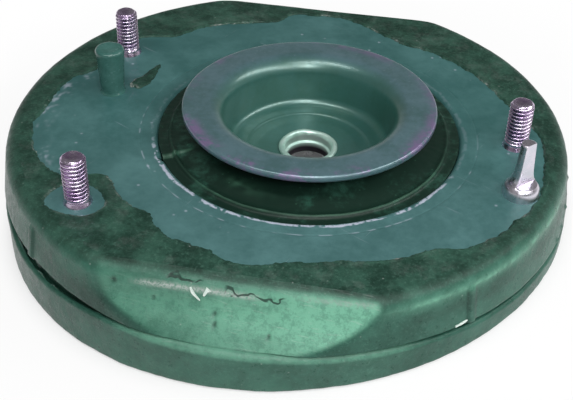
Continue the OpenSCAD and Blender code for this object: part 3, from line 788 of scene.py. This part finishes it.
def makeRubberBody():
    turns = bodyTurns()
    degrees = np.degrees(turns)
    shape = SimpleNamespace(turns=turns, degrees=degrees)
    shape.edgeZ, shape.footZ = roundCurve(degrees, flangeEdge), roundCurve(degrees, wallFoot)
    shape.front = window(degrees, *bodySpans["front"])
    shape.shut = np.maximum(window(degrees, *bodySpans["frontShut"]),
                            window(degrees, *bodySpans["rearShut"]))
    shape.deep = window(degrees, *bodySpans["deepGroove"])   # wide groove on the left
    rows = bodyRows(shape)
    roughenBody(shape, rows)
    piece = makePiece("rubberBody", shape.points, ringFaces(len(rows), body["columns"], True),
                      rubberLook, ("rubber_body",), body["sharp"])
    paintBody(piece, shape)


makeRubberBody()


# thin rubber skin that laps over the plate's border, torn at its inner edge
skin = {"columns": 1320, "rows": 50, "sharp": 62, "lap": 0.8, "margin": 3.0,
        "rag": ((1.1, 6.5, 21), (0.55, 2.2, 22), (0.3, 0.9, 23)),
        "bumps": ((0.10, 7.0, 31), (0.07, 2.4, 32), (0.04, 1.0, 33)),
        "lip": 0.16, "lobe": 0.75, "torn": 0.8}
# inner edge of the skin: bearing from the body's axis, distance
skinEdge = ((-180, 84), (-172, 85), (-164, 87), (-157, 86), (-151, 84.5), (-146, 81), (-142.5, 77),
            (-141, 70), (-137, 67), (-131, 68), (-125, 68.5), (-119, 68), (-112, 71), (-104, 73.5),
            (-97, 74), (-91, 77), (-85, 76), (-78, 75), (-68, 75.5), (-60, 78), (-52, 79.5),
            (-46, 81), (-42, 85), (-34, 87.5), (-26, 89), (-18, 89.8), (-9, 88.4), (0, 87.8),
            (8, 85), (17, 80.5), (24, 78), (34, 76.5), (45, 74.5), (54, 73), (62, 70.5), (70, 72),
            (77, 75), (84, 77.5), (92, 77.5), (99, 77), (104, 72), (111, 71.5), (121, 72.5),
            (130, 73), (137, 72.5), (142, 76), (147, 80), (153, 79), (160, 79.3), (168, 79),
            (174, 82.5))
# bare patch round the front stud: bearing from the stud, distance
frontPatch = ((-165, 10.6), (-142, 8.8), (-110, 7.4), (-65, 7.4), (-28, 8.2), (-3, 8.7), (30, 7.9),
              (69, 8.3), (110, 9.4), (137, 10.2), (167, 10.2))
frontLobe = (-37.5, -48.5, 7.0)    # darker film beside it: x, y, size


def makeRubberSkin():
    turns = allRound(skin["columns"])
    seamZ = np.full_like(turns, skinTop)
    outer = sideReach(turns, seamZ, wallReach(seamZ))
    edge = np.minimum(roundCurve(np.degrees(turns), skinEdge), outer - 0.2)
    share = np.linspace(0, 1, skin["rows"])[:, None]
    distance = outer + (edge - skin["margin"] - outer) * share
    level, _, _ = ringPoints([(row, skinTop) for row in distance], turns, bodyAxis)
    rag = layers(level, skin["rag"])
    studX, studY, _ = studPlaces["front"]
    bearing = np.degrees(np.arctan2(level[..., 1] - studY, level[..., 0] - studX))
    fromPatch = awayFrom(level, (studX, studY)) - roundCurve(bearing, frontPatch)
    cover = np.minimum(ease(distance - edge + rag, 0.0, skin["lap"]),
                       ease(fromPatch + 0.5 * rag, 0.0, skin["lap"]))
    cover[-1] = 0.0
    lip = skin["lip"] * bell(distance - edge + rag - 1.2, 0.7)
    thick = (skinTop - skinFoot) * cover
    thick = thick + (layers(level, skin["bumps"]) + lip) * cover * ease(share, 0.0, 0.06)
    thick[cover <= 0.0] = 0.0
    top, bottom = level.copy(), level.copy()
    top[..., 2], bottom[..., 2] = skinFoot + thick, skinFoot
    # faces only where there is rubber, and a lower side that joins the upper one at the torn edge
    bare = (cover <= 0.0).ravel()
    count = bare.size
    lower = np.where(bare, np.arange(count), np.arange(count) + count)
    quads = ringFaces(skin["rows"], skin["columns"], False)
    quads = quads[~bare[quads].all(axis=1)]
    rim = np.arange(skin["columns"])
    after = (rim + 1) % skin["columns"]
    side = np.stack([rim, after, lower[after], lower[rim]], -1)
    faces = np.concatenate([quads, lower[quads][:, ::-1], side])
    used = np.unique(faces)
    renumber = np.full(2 * count, -1)
    renumber[used] = np.arange(len(used))
    verts = np.concatenate([top.reshape(-1, 3), bottom.reshape(-1, 3)])
    piece = makePiece("rubberSkin", verts[used], renumber[faces], rubberLook,
                      sharp=skin["sharp"])

    def paintTop(name, values):
        paintMask(piece, name, np.concatenate([values.ravel(), np.zeros(count)])[used])

    paintMask(piece, "film", np.ones(len(used)))
    paintTop("shadeAndGrime", skin["lobe"] * bell(awayFrom(level, frontLobe), frontLobe[2]))
    torn = skin["torn"] * bell(cover - 0.45, 0.35)
    paintTop("torn", torn * ease(lumps(level, 5.0, 34), -0.1, 0.5))


makeRubberSkin()


# scraps of moulding flash: a leaf of skin left on the plate, and pale shreds on the body
flash = {"top": 29.75, "columns": 96, "shredSteps": 13, "shredThick": 0.3, "shredSharp": 40,
         "rag": ((0.10, 1.3, 36), (0.06, 0.6, 37))}
leafEdge = ((-55.9, 10.5), (-54.8, 14.3), (-52.8, 17.6), (-51.0, 23.1), (-48.8, 25.9),
            (-48.4, 19.3), (-48.9, 13.5), (-50.6, 10.3), (-53.5, 8.9))
# each shred: points, widths and the way that its flat side faces
shreds = ((((-7.0, -86.9, 26.7), (-6.2, -87.4, 25.0), (-4.0, -88.2, 23.2)),
           (0.4, 0.85, 0.3), (0.0, -0.93, 0.37)),
          (((-1.6, -86.9, 26.8), (-2.4, -87.2, 25.8), (-3.0, -87.6, 24.6)),
           (1.5, 1.0, 0.4), (0.0, -0.93, 0.37)),
          (((69.2, -73.4, 13.5), (70.8, -71.8, 13.6), (72.4, -70.2, 13.9)),
           (0.5, 0.8, 0.4), (0.69, -0.69, 0.2)))


def lineThrough(points, at):
    points = np.array(points)
    knots = np.arange(len(points))
    return np.stack([curveThrough(at, knots, points[:, k]) for k in range(points.shape[1])], -1)


def makeSkinLeaf():
    at = np.linspace(0, len(leafEdge), flash["columns"], endpoint=False)
    edge = lineThrough(leafEdge + leafEdge[:1], at)
    centre = edge.mean(axis=0)
    flat = np.concatenate([edge, np.zeros((len(edge), 1))], axis=1)
    edge = centre + (edge - centre) * (1 + layers(flat, flash["rag"]))[:, None]
    low, high = skinFoot, flash["top"]
    rows = []
    for share, z in ((0.05, low), (1.0, low), (1.0, low + 0.2), (0.93, high - 0.1), (0.75, high),
                     (0.4, high + 0.05), (0.05, high + 0.05)):
        ring = centre + (edge - centre) * share
        rows.append(np.concatenate([ring, np.full((len(ring), 1), z)], axis=1))
    points = np.array(rows)
    points[3:, :, 2] += 0.08 * lumps(points[3:], 1.5, 38)
    faces = cappedFaces(len(rows), flash["columns"])
    piece = makePiece("skinLeaf", points, faces, rubberLook)
    pale = np.zeros(points.shape[:2])
    pale[2:4] = ease(centre[0] - points[2:4, :, 0], -0.5, 2.5)
    paintMask(piece, "film", np.ones(points.shape[:2]))
    paintMask(piece, "torn", pale)


def makeShreds():
    verts, faces = [], []
    for path, widths, facing in shreds:
        steps = np.linspace(0, len(path) - 1, flash["shredSteps"])
        line = lineThrough(path, steps)
        width = curveThrough(steps, np.arange(len(path)), widths)
        width = width * (1 + 0.25 * lumps(line, 0.7, 39))
        side = np.cross(np.array(facing), np.gradient(line, axis=0))
        side = side / np.linalg.norm(side, axis=1)[:, None] * width[:, None] / 2
        thick = np.array(facing) * flash["shredThick"] / 2
        rows = np.stack([line + side + thick, line - side + thick,
                         line - side - thick, line + side - thick], 1)
        faces += [[len(verts) + k for k in face] for face in cappedFaces(len(line), 4)]
        verts += rows.reshape(-1, 3).tolist()
    makePiece("flashShreds", verts, faces, shredLook, sharp=flash["shredSharp"])


makeSkinLeaf()
makeShreds()


# steel top plate with its big hole
plate = {"columns": 900, "rows": 50, "sharp": 40, "holeR": 51.4, "holeRound": 2.0, "thick": 3.5,
         "collarZ": 12.2, "edgeR": 91.0, "edgeHalf": 79.4, "nickAt": -149.0, "nick": 1.3,
         "lineR": 57.6, "lineDent": 0.10, "wave": 0.05, "rubbed": (0.10, 0.80),
         "rubbedSpan": (-166, -150, -32, -14), "rubbedStrip": (1.0, 1.3, 2.1, 2.5), "line": 0.4,
         "litFront": 0.03, "haze": 0.5, "hazeSpan": (152, 162, 206, 214),
         "hazeStrip": (-0.5, 0.3, 2.0, 7.0), "strip": ((0.5, 6.0, 45), (0.3, 1.2, 47)),
         "chips": ((1.0, 3.0, 42), (0.9, 1.0, 43), (0.5, 0.6, 49))}
# rows round the hole, close together at its rubbed edge and at the scribed line
plateRows = (53.6, 53.8, 54.0, 54.25, 54.5, 54.8, 55.2, 56.0, 56.8, 57.2, 57.45, 57.6, 57.75, 58.0,
             58.4, 59.2, 60.2)


def plateOutline(turns):
    across = np.sin(turns)
    up = (plate["edgeHalf"] - centreAxis[1]) / np.maximum(across, 0.02)
    down = (plate["edgeHalf"] + centreAxis[1]) / np.maximum(-across, 0.02)
    return np.minimum(reach(turns, centreAxis, bodyAxis, plate["edgeR"]), np.minimum(up, down))


def plateWearAndLight(points, distance, height, turns):
    degrees = np.degrees(turns)
    # bare edge of the hole, broken into chips
    strip = distance - plate["holeR"] - layers(points, plate["strip"])
    rubbed = window(strip, *plate["rubbedStrip"]) * ease(height, 27.6, 28.8)
    rubbed = rubbed * ease(layers(points, plate["chips"]), -0.45, 0.15)
    least, more = plate["rubbed"]
    rubbed = rubbed * (least + more * window(degrees, *plate["rubbedSpan"]))
    # dashed scribed line in front
    line = plate["line"] * bell(distance - plate["lineR"], 0.20)
    line = line * ease(lumps(points, 2.4, 44), 0.0, 0.5) * ease(-np.sin(turns), -0.35, 0.35)
    # pale scratched haze beside the skin on the left
    fromBody = awayFrom(points, bodyAxis)
    turn = np.arctan2(points[..., 1], points[..., 0] - bodyAxis[0])
    bearing = np.degrees(turn)
    inward = roundCurve(bearing, skinEdge) - fromBody
    haze = window(inward, *plate["hazeStrip"]) * window((bearing + 360) % 360, *plate["hazeSpan"])
    swirl = np.stack([fromBody, turn * fromBody * 0.45, height], -1)
    streaks = lumps(swirl, 1.5, 46) + 0.8 * lumps(points, 1.3, 48)
    haze = plate["haze"] * haze * ease(streaks, 0.05, 0.85)
    # painted light: the face is paler in front
    litFront = plate["litFront"] * ease(-np.sin(turns), -0.2, 0.8) * ease(height, 28.8, 29.1)
    return np.clip(rubbed + line + haze + litFront, 0, 1)


def makeTopPlate():
    turns = allRound(plate["columns"])
    hole, fillet, thick = plate["holeR"], plate["holeRound"], plate["thick"]
    nick = plate["nick"] * bell(np.degrees(turns) - plate["nickAt"], 1.6)
    rows = [(hole + thick, plate["collarZ"]), (hole, plate["collarZ"]), (hole, 20.0)]
    rolled = arcPoints(hole + fillet, plateTop - fillet, fillet, 180, 90, 11)
    rows += [(r + nick, z) for r, z in rolled]
    rows += [(r, plateTop - plate["lineDent"] * bell(r - plate["lineR"], 0.22)) for r in plateRows]
    outline = plateOutline(turns)
    for share in np.linspace(0, 1, plate["rows"])[1:]:
        rows.append((plateRows[-1] + (outline - plateRows[-1]) * share, plateTop))
    rows += [(outline, plateTop - thick), (hole + thick, plateTop - thick)]
    points, distance, height = ringPoints(rows, turns, centreAxis)
    level = ease(height, 28.5, 29.1) * ease(distance, 52.6, 55.0)
    points[..., 2] += plate["wave"] * lumps(points, 14.0, 41) * level
    faces = ringFaces(len(rows), plate["columns"], True)
    piece = makePiece("topPlate", points, faces, plateLook, ("top_plate",),
                      plate["sharp"])
    paintMask(piece, "wear", plateWearAndLight(points, distance, height, turns))


makeTopPlate()


# black rubber bush in the plate's hole, with painted highlights on its bead and step and a painted
# reflection in front
bush = {"columns": 600, "sharp": 60, "outerR": 51.35, "lipZ": 27.6, "innerR": 33.2, "hubR": 36.28,
        "hubZ": 18.65, "footZ": 13.4, "backLift": 1.1, "stepAt": -150.0, "beadR": 47.35,
        "bead": 0.6, "beadSpan": (-140, -115, -25, -5), "step": 0.3, "frontSheen": 0.42, "frontSheenR": 40.2,
        "frontSheenAt": -110.0, "rough": ((0.14, 8.0, 51), (0.07, 2.2, 52)), "stepRough": 0.10}
# upper side from the plate's hole inwards: radius, height above the lip
bushTop = [(51.35, 0.0), (51.1, 0.12), (50.4, 0.05), (49.4, 0.0), (48.6, 0.0), (48.1, 0.12),
           (47.75, 0.5), (47.5, 0.95), (47.2, 1.15), (46.9, 1.12), (46.5, 0.85), (46.0, 0.72)]
bushTop += [(45.0 - k, 0.85 + 0.25 * k) for k in range(12)] + [(33.4, 3.75), (33.2, 3.6)]


def makeCentreBush():
    turns = allRound(bush["columns"])
    degrees = np.degrees(turns)
    # the lip stands higher at the back and ends in a step on the left
    raised = 1 - ease(degrees, bush["stepAt"] - 0.8, bush["stepAt"] + 0.8)
    raised = np.maximum(raised * (degrees < -90), ease(degrees, -28.0, 6.0))
    rows = [(bush["outerR"], bush["footZ"]), (bush["outerR"], 26.0)]
    lift = bush["backLift"] * raised
    rows += [(r, bush["lipZ"] + up + lift * ease(r, 40.0, 46.5)) for r, up in bushTop]
    rows += [(bush["innerR"], bush["hubZ"]), (bush["hubR"], bush["hubZ"]),
             (bush["hubR"], bush["footZ"])]
    points, distance, height = ringPoints(rows, turns, centreAxis)
    top = ease(height, 27.0, 27.5)
    rough = layers(points, bush["rough"]) + raised * bush["stepRough"] * lumps(points, 1.2, 53)
    points[..., 2] += top * rough
    faces = ringFaces(len(rows), bush["columns"], True)
    piece = makePiece("centreBush", points, faces, bushLook, ("centre_bush",),
                      bush["sharp"])
    # painted highlight along the bead, strongest in front, a painted highlight at the step on the
    # left, and a pale painted reflection in front
    bead = bush["bead"] * bell(distance - bush["beadR"], 0.18)
    bead = bead * (0.25 + 0.75 * window(degrees, *bush["beadSpan"]))
    bead = bead * (0.7 + 0.4 * lumps(points, 3.0, 54))
    step = bush["step"] * bell(degrees - bush["stepAt"], 0.7) * ease(distance, 40.0, 42.0)
    frontSheen = bell(distance - bush["frontSheenR"], 1.7) * bell(degrees - bush["frontSheenAt"], 10.0)
    frontSheen = bush["frontSheen"] * frontSheen * ease(lumps(points, 2.2, 55), -0.6, 0.5)
    paintMask(piece, "bead", np.clip(top * (bead + step + frontSheen), 0, 1))


makeCentreBush()


# pressed rebound cup; inside and outside are the mouth's radius, the roll's and the wall's lean
cup = {"columns": 256, "sharp": 50, "rimR": 43.0, "rimZ": 39.2, "thick": 2.6, "corner": 3.0,
       "frontLift": 0.6, "inside": (28.6, 6.2, 3.0), "outside": (30.2, 5.6, 11.0), "depth": 17.4,
       "stepR": 20.9, "stepD": 0.6, "edge": 0.9, "holeR": 8.68, "warp": 0.10,
       "dents": (0.04, 9.0, 61)}


def bowlSection(mouth, roll, lean):
    # places of the rolled mouth and of the corner at the bowl's floor
    turn = math.radians(lean)
    endZ = cup["rimZ"] - roll + roll * math.sin(turn)
    cornerTop = cup["rimZ"] - cup["depth"] + cup["corner"] * (1 - math.sin(turn))
    endR = mouth + roll - roll * math.cos(turn)
    cornerR = endR - (endZ - cornerTop) * math.tan(turn) - cup["corner"] * math.cos(turn)
    return mouth + roll, cup["rimZ"] - roll, cornerR


def cupProfile():
    thick, corner, edge, rimZ = cup["thick"], cup["corner"], cup["edge"], cup["rimZ"]
    floor = rimZ - cup["depth"]
    cornerZ = floor + corner
    stepZ = floor - cup["stepD"]
    edgeR = cup["rimR"] - edge
    # underside, from the hole out to the rim
    profile = [(cup["holeR"], stepZ - thick), (cup["stepR"], stepZ - thick),
               (cup["stepR"] + 0.6, floor - thick)]
    _, roll, lean = cup["outside"]
    rollR, rollZ, cornerR = bowlSection(*cup["outside"])
    profile += arcPoints(cornerR, cornerZ, corner + thick, -90, -lean, 12)
    profile += arcPoints(rollR, rollZ, roll - thick, 180 - lean, 90, 14)
    profile += arcPoints(edgeR, rimZ - thick + edge, edge, -90, 0, 6)
    # upper side, back to the hole
    _, roll, lean = cup["inside"]
    rollR, rollZ, cornerR = bowlSection(*cup["inside"])
    profile += arcPoints(edgeR, rimZ - edge, edge, 0, 90, 6)
    profile += [(r, rimZ) for r in (40.6, 39.0, 37.4, 35.6)]
    profile += arcPoints(rollR, rollZ, roll, 90, 180 - lean, 22)
    wallTop = np.array(profile[-1])
    cornerArc = arcPoints(cornerR, cornerZ, corner, -lean, -90, 12)
    wallDown = np.array(cornerArc[0]) - wallTop
    profile += [tuple(wallTop + wallDown * share) for share in (0.2, 0.4, 0.6, 0.8)]
    profile += cornerArc
    profile += [(24.6, floor), (23.0, floor), (21.9, floor), (21.5, floor - 0.06),
                (21.2, floor - 0.3), (20.9, floor - 0.54), (20.5, stepZ), (19.2, stepZ),
                (17.6, stepZ + 0.02), (16.8, stepZ + 0.12), (16.0, stepZ + 0.02), (14.0, stepZ),
                (11.5, stepZ), (cup["holeR"], stepZ)]
    return profile


def makeReboundCup():
    profile = cupProfile()
    turns = allRound(cup["columns"], 0.0)
    points, away, height = ringPoints(profile, turns, centreAxis)
    rim = ease(height, 25.0, 37.0)
    points[..., 2] += rim * cup["frontLift"] * (1 - np.sin(turns))
    points[..., 2] += rim * cup["warp"] * np.sin(2 * turns + 0.7) + layers(points, (cup["dents"],))
    faces = ringFaces(len(profile), cup["columns"], True)
    piece = makePiece("reboundCup", points, faces, cupLook, ("rebound_cup",),
                      cup["sharp"])
    facing = ease(centreAxis[1] - points[..., 1], -10.0, 30.0)
    paintMask(piece, "rim", ease(away, 29.6, 34.0) * ease(points[..., 2], 35.5, 38.5))
    # the rim is worn most in front
    wear = (0.7 + 0.9 * facing) * ease(away, 37.8, 42.2)
    paintMask(piece, "wear", wear * ease(points[..., 2], 36.5, 38.0))


makeReboundCup()


# plated sleeve rolled over at the bottom of the cup
sleeve = {"columns": 160, "sharp": 50, "bore": 7.25, "wideR": 8.05, "ledgeZ": 18.6, "seatZ": 21.2,
          "tubeR": 8.65, "hubZ": 15.4, "endZ": 14.3, "sideHollowDark": 0.28}


def makeCentreSleeve():
    bore, wide, ledge, tube = sleeve["bore"], sleeve["wideR"], sleeve["ledgeZ"], sleeve["tubeR"]
    seat, hub, end = sleeve["seatZ"], sleeve["hubZ"], sleeve["endZ"]
    profile = [(7.75, end), (9.9, end), (10.15, end + 0.25), (10.15, hub), (tube, hub),
               (tube, seat), (10.05, seat), (10.2, 21.5), (10.15, 21.9), (9.9, 22.25),
               (9.5, 22.45), (9.1, 22.5), (8.75, 22.4), (8.45, 22.1), (wide + 0.12, 21.6),
               (wide, 20.8), (wide, 19.8), (wide, ledge + 0.4), (wide - 0.1, ledge + 0.1),
               (wide - 0.35, ledge), (bore + 0.15, ledge - 0.05), (bore, ledge - 0.25),
               (bore, 16.6), (bore, end + 0.5)]
    turns = allRound(sleeve["columns"], 0.0)
    points, _, height = ringPoints(profile, turns, centreAxis)
    top = ease(height, 21.5, 22.2)
    waves = 0.16 * np.sin(3 * turns + 1.0) + 0.12 * np.sin(7 * turns)
    points[..., 2] += top * (waves + 0.12 * lumps(points, 1.6, 71))
    push = top * 0.12 * lumps(points, 2.6, 72)
    points[..., :2] += push[..., None] * outward(points, centreAxis)
    faces = ringFaces(len(profile), sleeve["columns"], True)
    piece = makePiece("centreSleeve", points, faces, sleeveLook, ("centre_sleeve",),
                      sleeve["sharp"])
    away, height = awayFrom(points, centreAxis), points[..., 2]
    # painted shade inside the bore, below the ledge and on the wider wall above it
    hollowDark = ease(height, ledge - 0.1, ledge - 0.7) * (away < 7.6)
    hollowDark = hollowDark + sleeve["sideHollowDark"] * window(height, ledge, ledge + 0.4, 21.0, 21.8) * (away < 8.3)
    paintMask(piece, "hollowDark", hollowDark)


makeCentreSleeve()


# press-in studs with cut threads
stud = {"columns": 72, "sharp": 70, "majorR": 3.97, "depth": 0.82, "pitch": 1.41, "neckR": 4.7,
        "neckZ": 30.7, "topZ": 46.2, "tip": 0.9, "headR": 7.0, "headZ": 23.1, "step": 0.115,
        "runOut": 1.6, "nicks": 0.035, "topRough": 0.14, "hollowDark": 0.8, "topHollowDark": 0.35}


def studRows(turns, start):
    top, head, neck, major = stud["topZ"], stud["headR"], stud["neckR"], stud["majorR"]
    rows = [(axisR, stud["headZ"]), (head, stud["headZ"]), (head, plateUnder), (neck, plateUnder),
            (neck, 29.0), (4.62, 29.2), (4.5, 29.5), (4.35, 29.85), (4.18, 30.2), (4.05, 30.5),
            (major, 30.72)]
    for z in np.arange(stud["neckZ"] + 0.1, top - 0.02, stud["step"]):
        phase = (z - start) / stud["pitch"] - turns / (2 * np.pi)
        phase = phase - np.floor(phase)
        crest = ease(1 - 2 * np.abs(phase - 0.5), 0.10, 0.80)
        runOut = ease(z, stud["neckZ"], stud["neckZ"] + stud["runOut"])
        r = major - stud["depth"] * (1 - crest) * runOut
        rows.append((softMin(r, major - stud["tip"] + top - z, 0.25), z))
    hollow = [(2.85, top), (2.55, top - 0.04), (2.2, top - 0.24), (1.2, top - 0.34),
              (axisR, top - 0.40)]
    return rows + hollow


def makeStud(name, x, y, start):
    turns = allRound(stud["columns"], 0.0)
    rows = studRows(turns, start)
    points, radius, height = ringPoints(rows, turns, (x, y))
    top, major = stud["topZ"], stud["majorR"]
    points[..., 2] += ease(height, top - 0.8, top) * stud["topRough"] * lumps(points, 1.5, 81)
    nicks = np.stack([lumps(points, 0.9, 82), lumps(points, 0.9, 83)], -1)
    points[..., :2] += stud["nicks"] * ease(height, 30.2, 31.4)[..., None] * nicks
    faces = cappedFaces(len(rows), stud["columns"])
    piece = makePiece(name + "Stud", points, faces, studLook, ("stud_" + name,),
                      stud["sharp"])
    # darker in the thread roots and in the hollow top
    root = ease(radius, major - 0.35, major - stud["depth"])
    root = root * window(height, 31, 32, top - 1.2, top - 0.6)
    hollow = stud["topHollowDark"] * ease(radius, 2.5, 1.9) * (height > top - 0.6)
    paintMask(piece, "hollowDark", stud["hollowDark"] * np.maximum(root, hollow))


for studName, studPlace in studPlaces.items():
    makeStud(studName, *studPlace)


# painted locating pin, a little wider at its top
paintedPin = {"place": (-60.36, 5.87), "columns": 96, "sharp": 60, "footR": 4.1, "footZ": 30.1,
              "topR": 5.1, "topZ": 46.6, "crown": 1.2, "rough": 0.10, "topRough": 0.18}


def makePaintedPin():
    topR, topZ, crown = paintedPin["topR"], paintedPin["topZ"], paintedPin["crown"]
    footR, footZ = paintedPin["footR"], paintedPin["footZ"]
    profile = [(axisR, plateUnder), (3.0, plateUnder), (3.0, 29.0), (4.55, 29.1), (4.5, 29.3),
               (4.3, 29.6), (4.12, footZ)]
    for share in np.linspace(0.06, 1, 12):
        profile.append((footR + (topR - footR) * share, footZ + (topZ - crown - footZ) * share))
    profile += arcPoints(topR - crown, topZ - crown, crown, 12, 90, 8)
    profile += [(2.6, topZ - 0.05), (1.3, topZ - 0.18), (axisR, topZ - 0.22)]
    turns = allRound(paintedPin["columns"], 0.0)
    points, radius, height = ringPoints(profile, turns, paintedPin["place"])
    push = ease(height, 29.5, 31.0) * ease(radius, 1.0, 3.0)
    push = push * paintedPin["rough"] * lumps(points, 3.0, 91)
    points[..., :2] += push[..., None] * outward(points, paintedPin["place"])
    atTop = ease(height, topZ - 1.0, topZ) * paintedPin["topRough"]
    points[..., 2] += atTop * lumps(points, 2.4, 92)
    faces = cappedFaces(len(profile), paintedPin["columns"])
    makePiece("paintedPin", points, faces, pinPaintLook, ("painted_pin",),
              paintedPin["sharp"])


makePaintedPin()


# plated locating pin: round foot, tapered shank with a flat
flatPin = {"place": (84.70, -24.94), "columns": 128, "sharp": 35, "footZ": 33.5, "shankR": 3.3,
           "tipR": 2.35, "flare": 1.2, "topZ": 48.6, "cut": 1.2, "cutBlend": 0.12, "faces": -45.0}


def makeFlatPin():
    footZ, topZ = flatPin["footZ"], flatPin["topZ"]
    shankR, tipR = flatPin["shankR"], flatPin["tipR"]
    rows = [(axisR, plateUnder), (3.0, plateUnder), (3.0, 29.0), (5.9, 29.1), (5.88, 29.5),
            (5.82, 30.4), (5.74, 31.3), (5.6, 32.0), (5.4, 32.55), (5.1, 32.95), (4.9, 33.2),
            (4.75, 33.4), (4.65, footZ)]
    for share in np.linspace(0, 1, 32):
        r = shankR + (tipR - shankR) * share + flatPin["flare"] * math.exp(-share * 9)
        rows.append((r, footZ + 0.3 + (topZ - 0.65 - footZ) * share))
    rows += [(2.26, topZ - 0.16), (2.05, topZ - 0.03), (1.6, topZ), (0.8, topZ), (axisR, topZ)]
    points, _, height = ringPoints(rows, allRound(flatPin["columns"], 0.0), (0.0, 0.0))
    u, v = points[..., 0], points[..., 1]
    u = np.where(height > footZ + 0.1, softMin(u, flatPin["cut"], flatPin["cutBlend"]), u)
    swing = math.radians(flatPin["faces"])
    x = flatPin["place"][0] + u * math.cos(swing) - v * math.sin(swing)
    y = flatPin["place"][1] + u * math.sin(swing) + v * math.cos(swing)
    faces = cappedFaces(len(rows), flatPin["columns"])
    makePiece("flatPin", np.stack([x, y, height], -1), faces, pinZincLook,
              ("flatted_pin",), flatPin["sharp"])


makeFlatPin()


# hub and thrust bearing keep their CAD shapes and take their own finishes
bearingLooks = {"bearing_hub": hubLook, "upper_race": raceLook, "lower_race": raceLook,
                "bearing_balls": ballLook, "ball_cage": cageLook, "bearing_seal": sealLook}
for nodeName, look in bearingLooks.items():
    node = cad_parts[nodeName]
    node.data.materials.clear()
    node.data.materials.append(look)
print("hub and bearing finished")


# floor, light and white surroundings, in metres
studio = {"floorSize": 1.0, "floorGap": 0.0003, "floorColour": rgb(0.88, 0.88, 0.88),
          "white": rgb(1, 1, 1), "underR": 0.088, "shadowFrom": 0.105, "shadowTo": 0.20,
          "shadowShare": 0.12, "ambient": 0.23, "ceiling": 0.16, "horizon": (-0.02, 0.16),
          "lampAim": (0, 0, 0.02)}
# name, place, width, height, power
lamps = (("overheadStrip", (-0.06, -0.27, 0.68), 0.60, 0.09, 1.95),
         ("keyLamp", (0.12, -0.44, 0.44), 0.14, 0.14, 1.10),
         ("rightStrip", (0.44, -0.10, 0.42), 0.80, 0.08, 2.00))


def mixShaders(tree, share, first, second):
    mix = addNode(tree, "MixShader", {0: share})
    tree.links.new(first.outputs[0], mix.inputs[1])
    tree.links.new(second.outputs[0], mix.inputs[2])
    return mix


def makeFloor():
    half = studio["floorSize"] / 2
    slope = math.radians(body["slope"])
    mesh = bpy.data.meshes.new("floor")
    corners = [(-half, -half, 0), (half, -half, 0), (half, half, 0), (-half, half, 0)]
    mesh.from_pydata(corners, [], [(0, 1, 2, 3)])
    floor = bpy.data.objects.new("floor", mesh)
    # the floor lies along the flange's sloping underside
    floor.location = (0, 0, body["flangeR"] * math.tan(slope) * mm - studio["floorGap"])
    floor.rotation_euler = (0, -slope, 0)
    scene.collection.objects.link(floor)
    material, tree, shader = newMaterial("paleFloor", Roughness=0.9, Specular_IOR_Level=0.1,
                                         Base_Color=studio["floorColour"])
    away = addNode(tree, "VectorMath", {0: objectSpot(tree)}, operation="LENGTH").outputs["Value"]
    near = mapRange(tree, away, studio["underR"], studio["shadowFrom"])
    far = mapRange(tree, away, studio["shadowFrom"], studio["shadowTo"],
                   1.0 - studio["shadowShare"], 1.0)
    path = addNode(tree, "LightPath").outputs
    seen = reckon(tree, "ADD", path["Is Camera Ray"], path["Is Glossy Ray"], True)
    seen = reckon(tree, "ADD", seen, path["Is Transmission Ray"], True)
    glow = addNode(tree, "Emission", {"Color": studio["white"], "Strength": 1.0})
    lit = mixShaders(tree, times(tree, times(tree, near, far), seen), shader, glow)
    # clear from below, so that the underside can be looked at
    below = addNode(tree, "NewGeometry").outputs["Backfacing"]
    side = mixShaders(tree, below, lit, addNode(tree, "BsdfTransparent"))
    tree.links.new(side.outputs[0], tree.nodes["Material Output"].inputs["Surface"])
    mesh.materials.append(material)


def makeWorld():
    world = bpy.data.worlds.new("studioWorld")
    world.use_nodes = True
    tree = world.node_tree
    back = tree.nodes["Background"]
    back.inputs["Color"].default_value = studio["white"]
    path = addNode(tree, "LightPath").outputs
    ray = addNode(tree, "TexCoord").outputs["Generated"]
    up = addNode(tree, "SeparateXYZ", {0: ray}).outputs["Z"]
    # reflections see white low down and a dimmer ceiling
    backdrop = mapRange(tree, up, *studio["horizon"], 1.0, studio["ceiling"])
    shown = reckon(tree, "ADD", path["Is Glossy Ray"], path["Is Transmission Ray"], True)
    level = addNode(tree, "Mix", {0: shown, 2: studio["ambient"], 3: backdrop}).outputs[0]
    level = addNode(tree, "Mix", {0: path["Is Camera Ray"], 2: level, 3: 1.0}).outputs[0]
    tree.links.new(level, back.inputs["Strength"])
    scene.world = world


def makeLamps():
    for name, place, width, height, power in lamps:
        data = bpy.data.lights.new(name, "AREA")
        data.shape = "RECTANGLE"
        data.size, data.size_y = width, height
        data.energy = power
        lamp = bpy.data.objects.new(name, data)
        lamp.location = place
        aim = Vector(studio["lampAim"]) - Vector(place)
        lamp.rotation_euler = aim.to_track_quat("-Z", "Y").to_euler()
        scene.collection.objects.link(lamp)


makeFloor()
makeWorld()
makeLamps()
scene.view_settings.view_transform = "Standard"
print("studio set up")
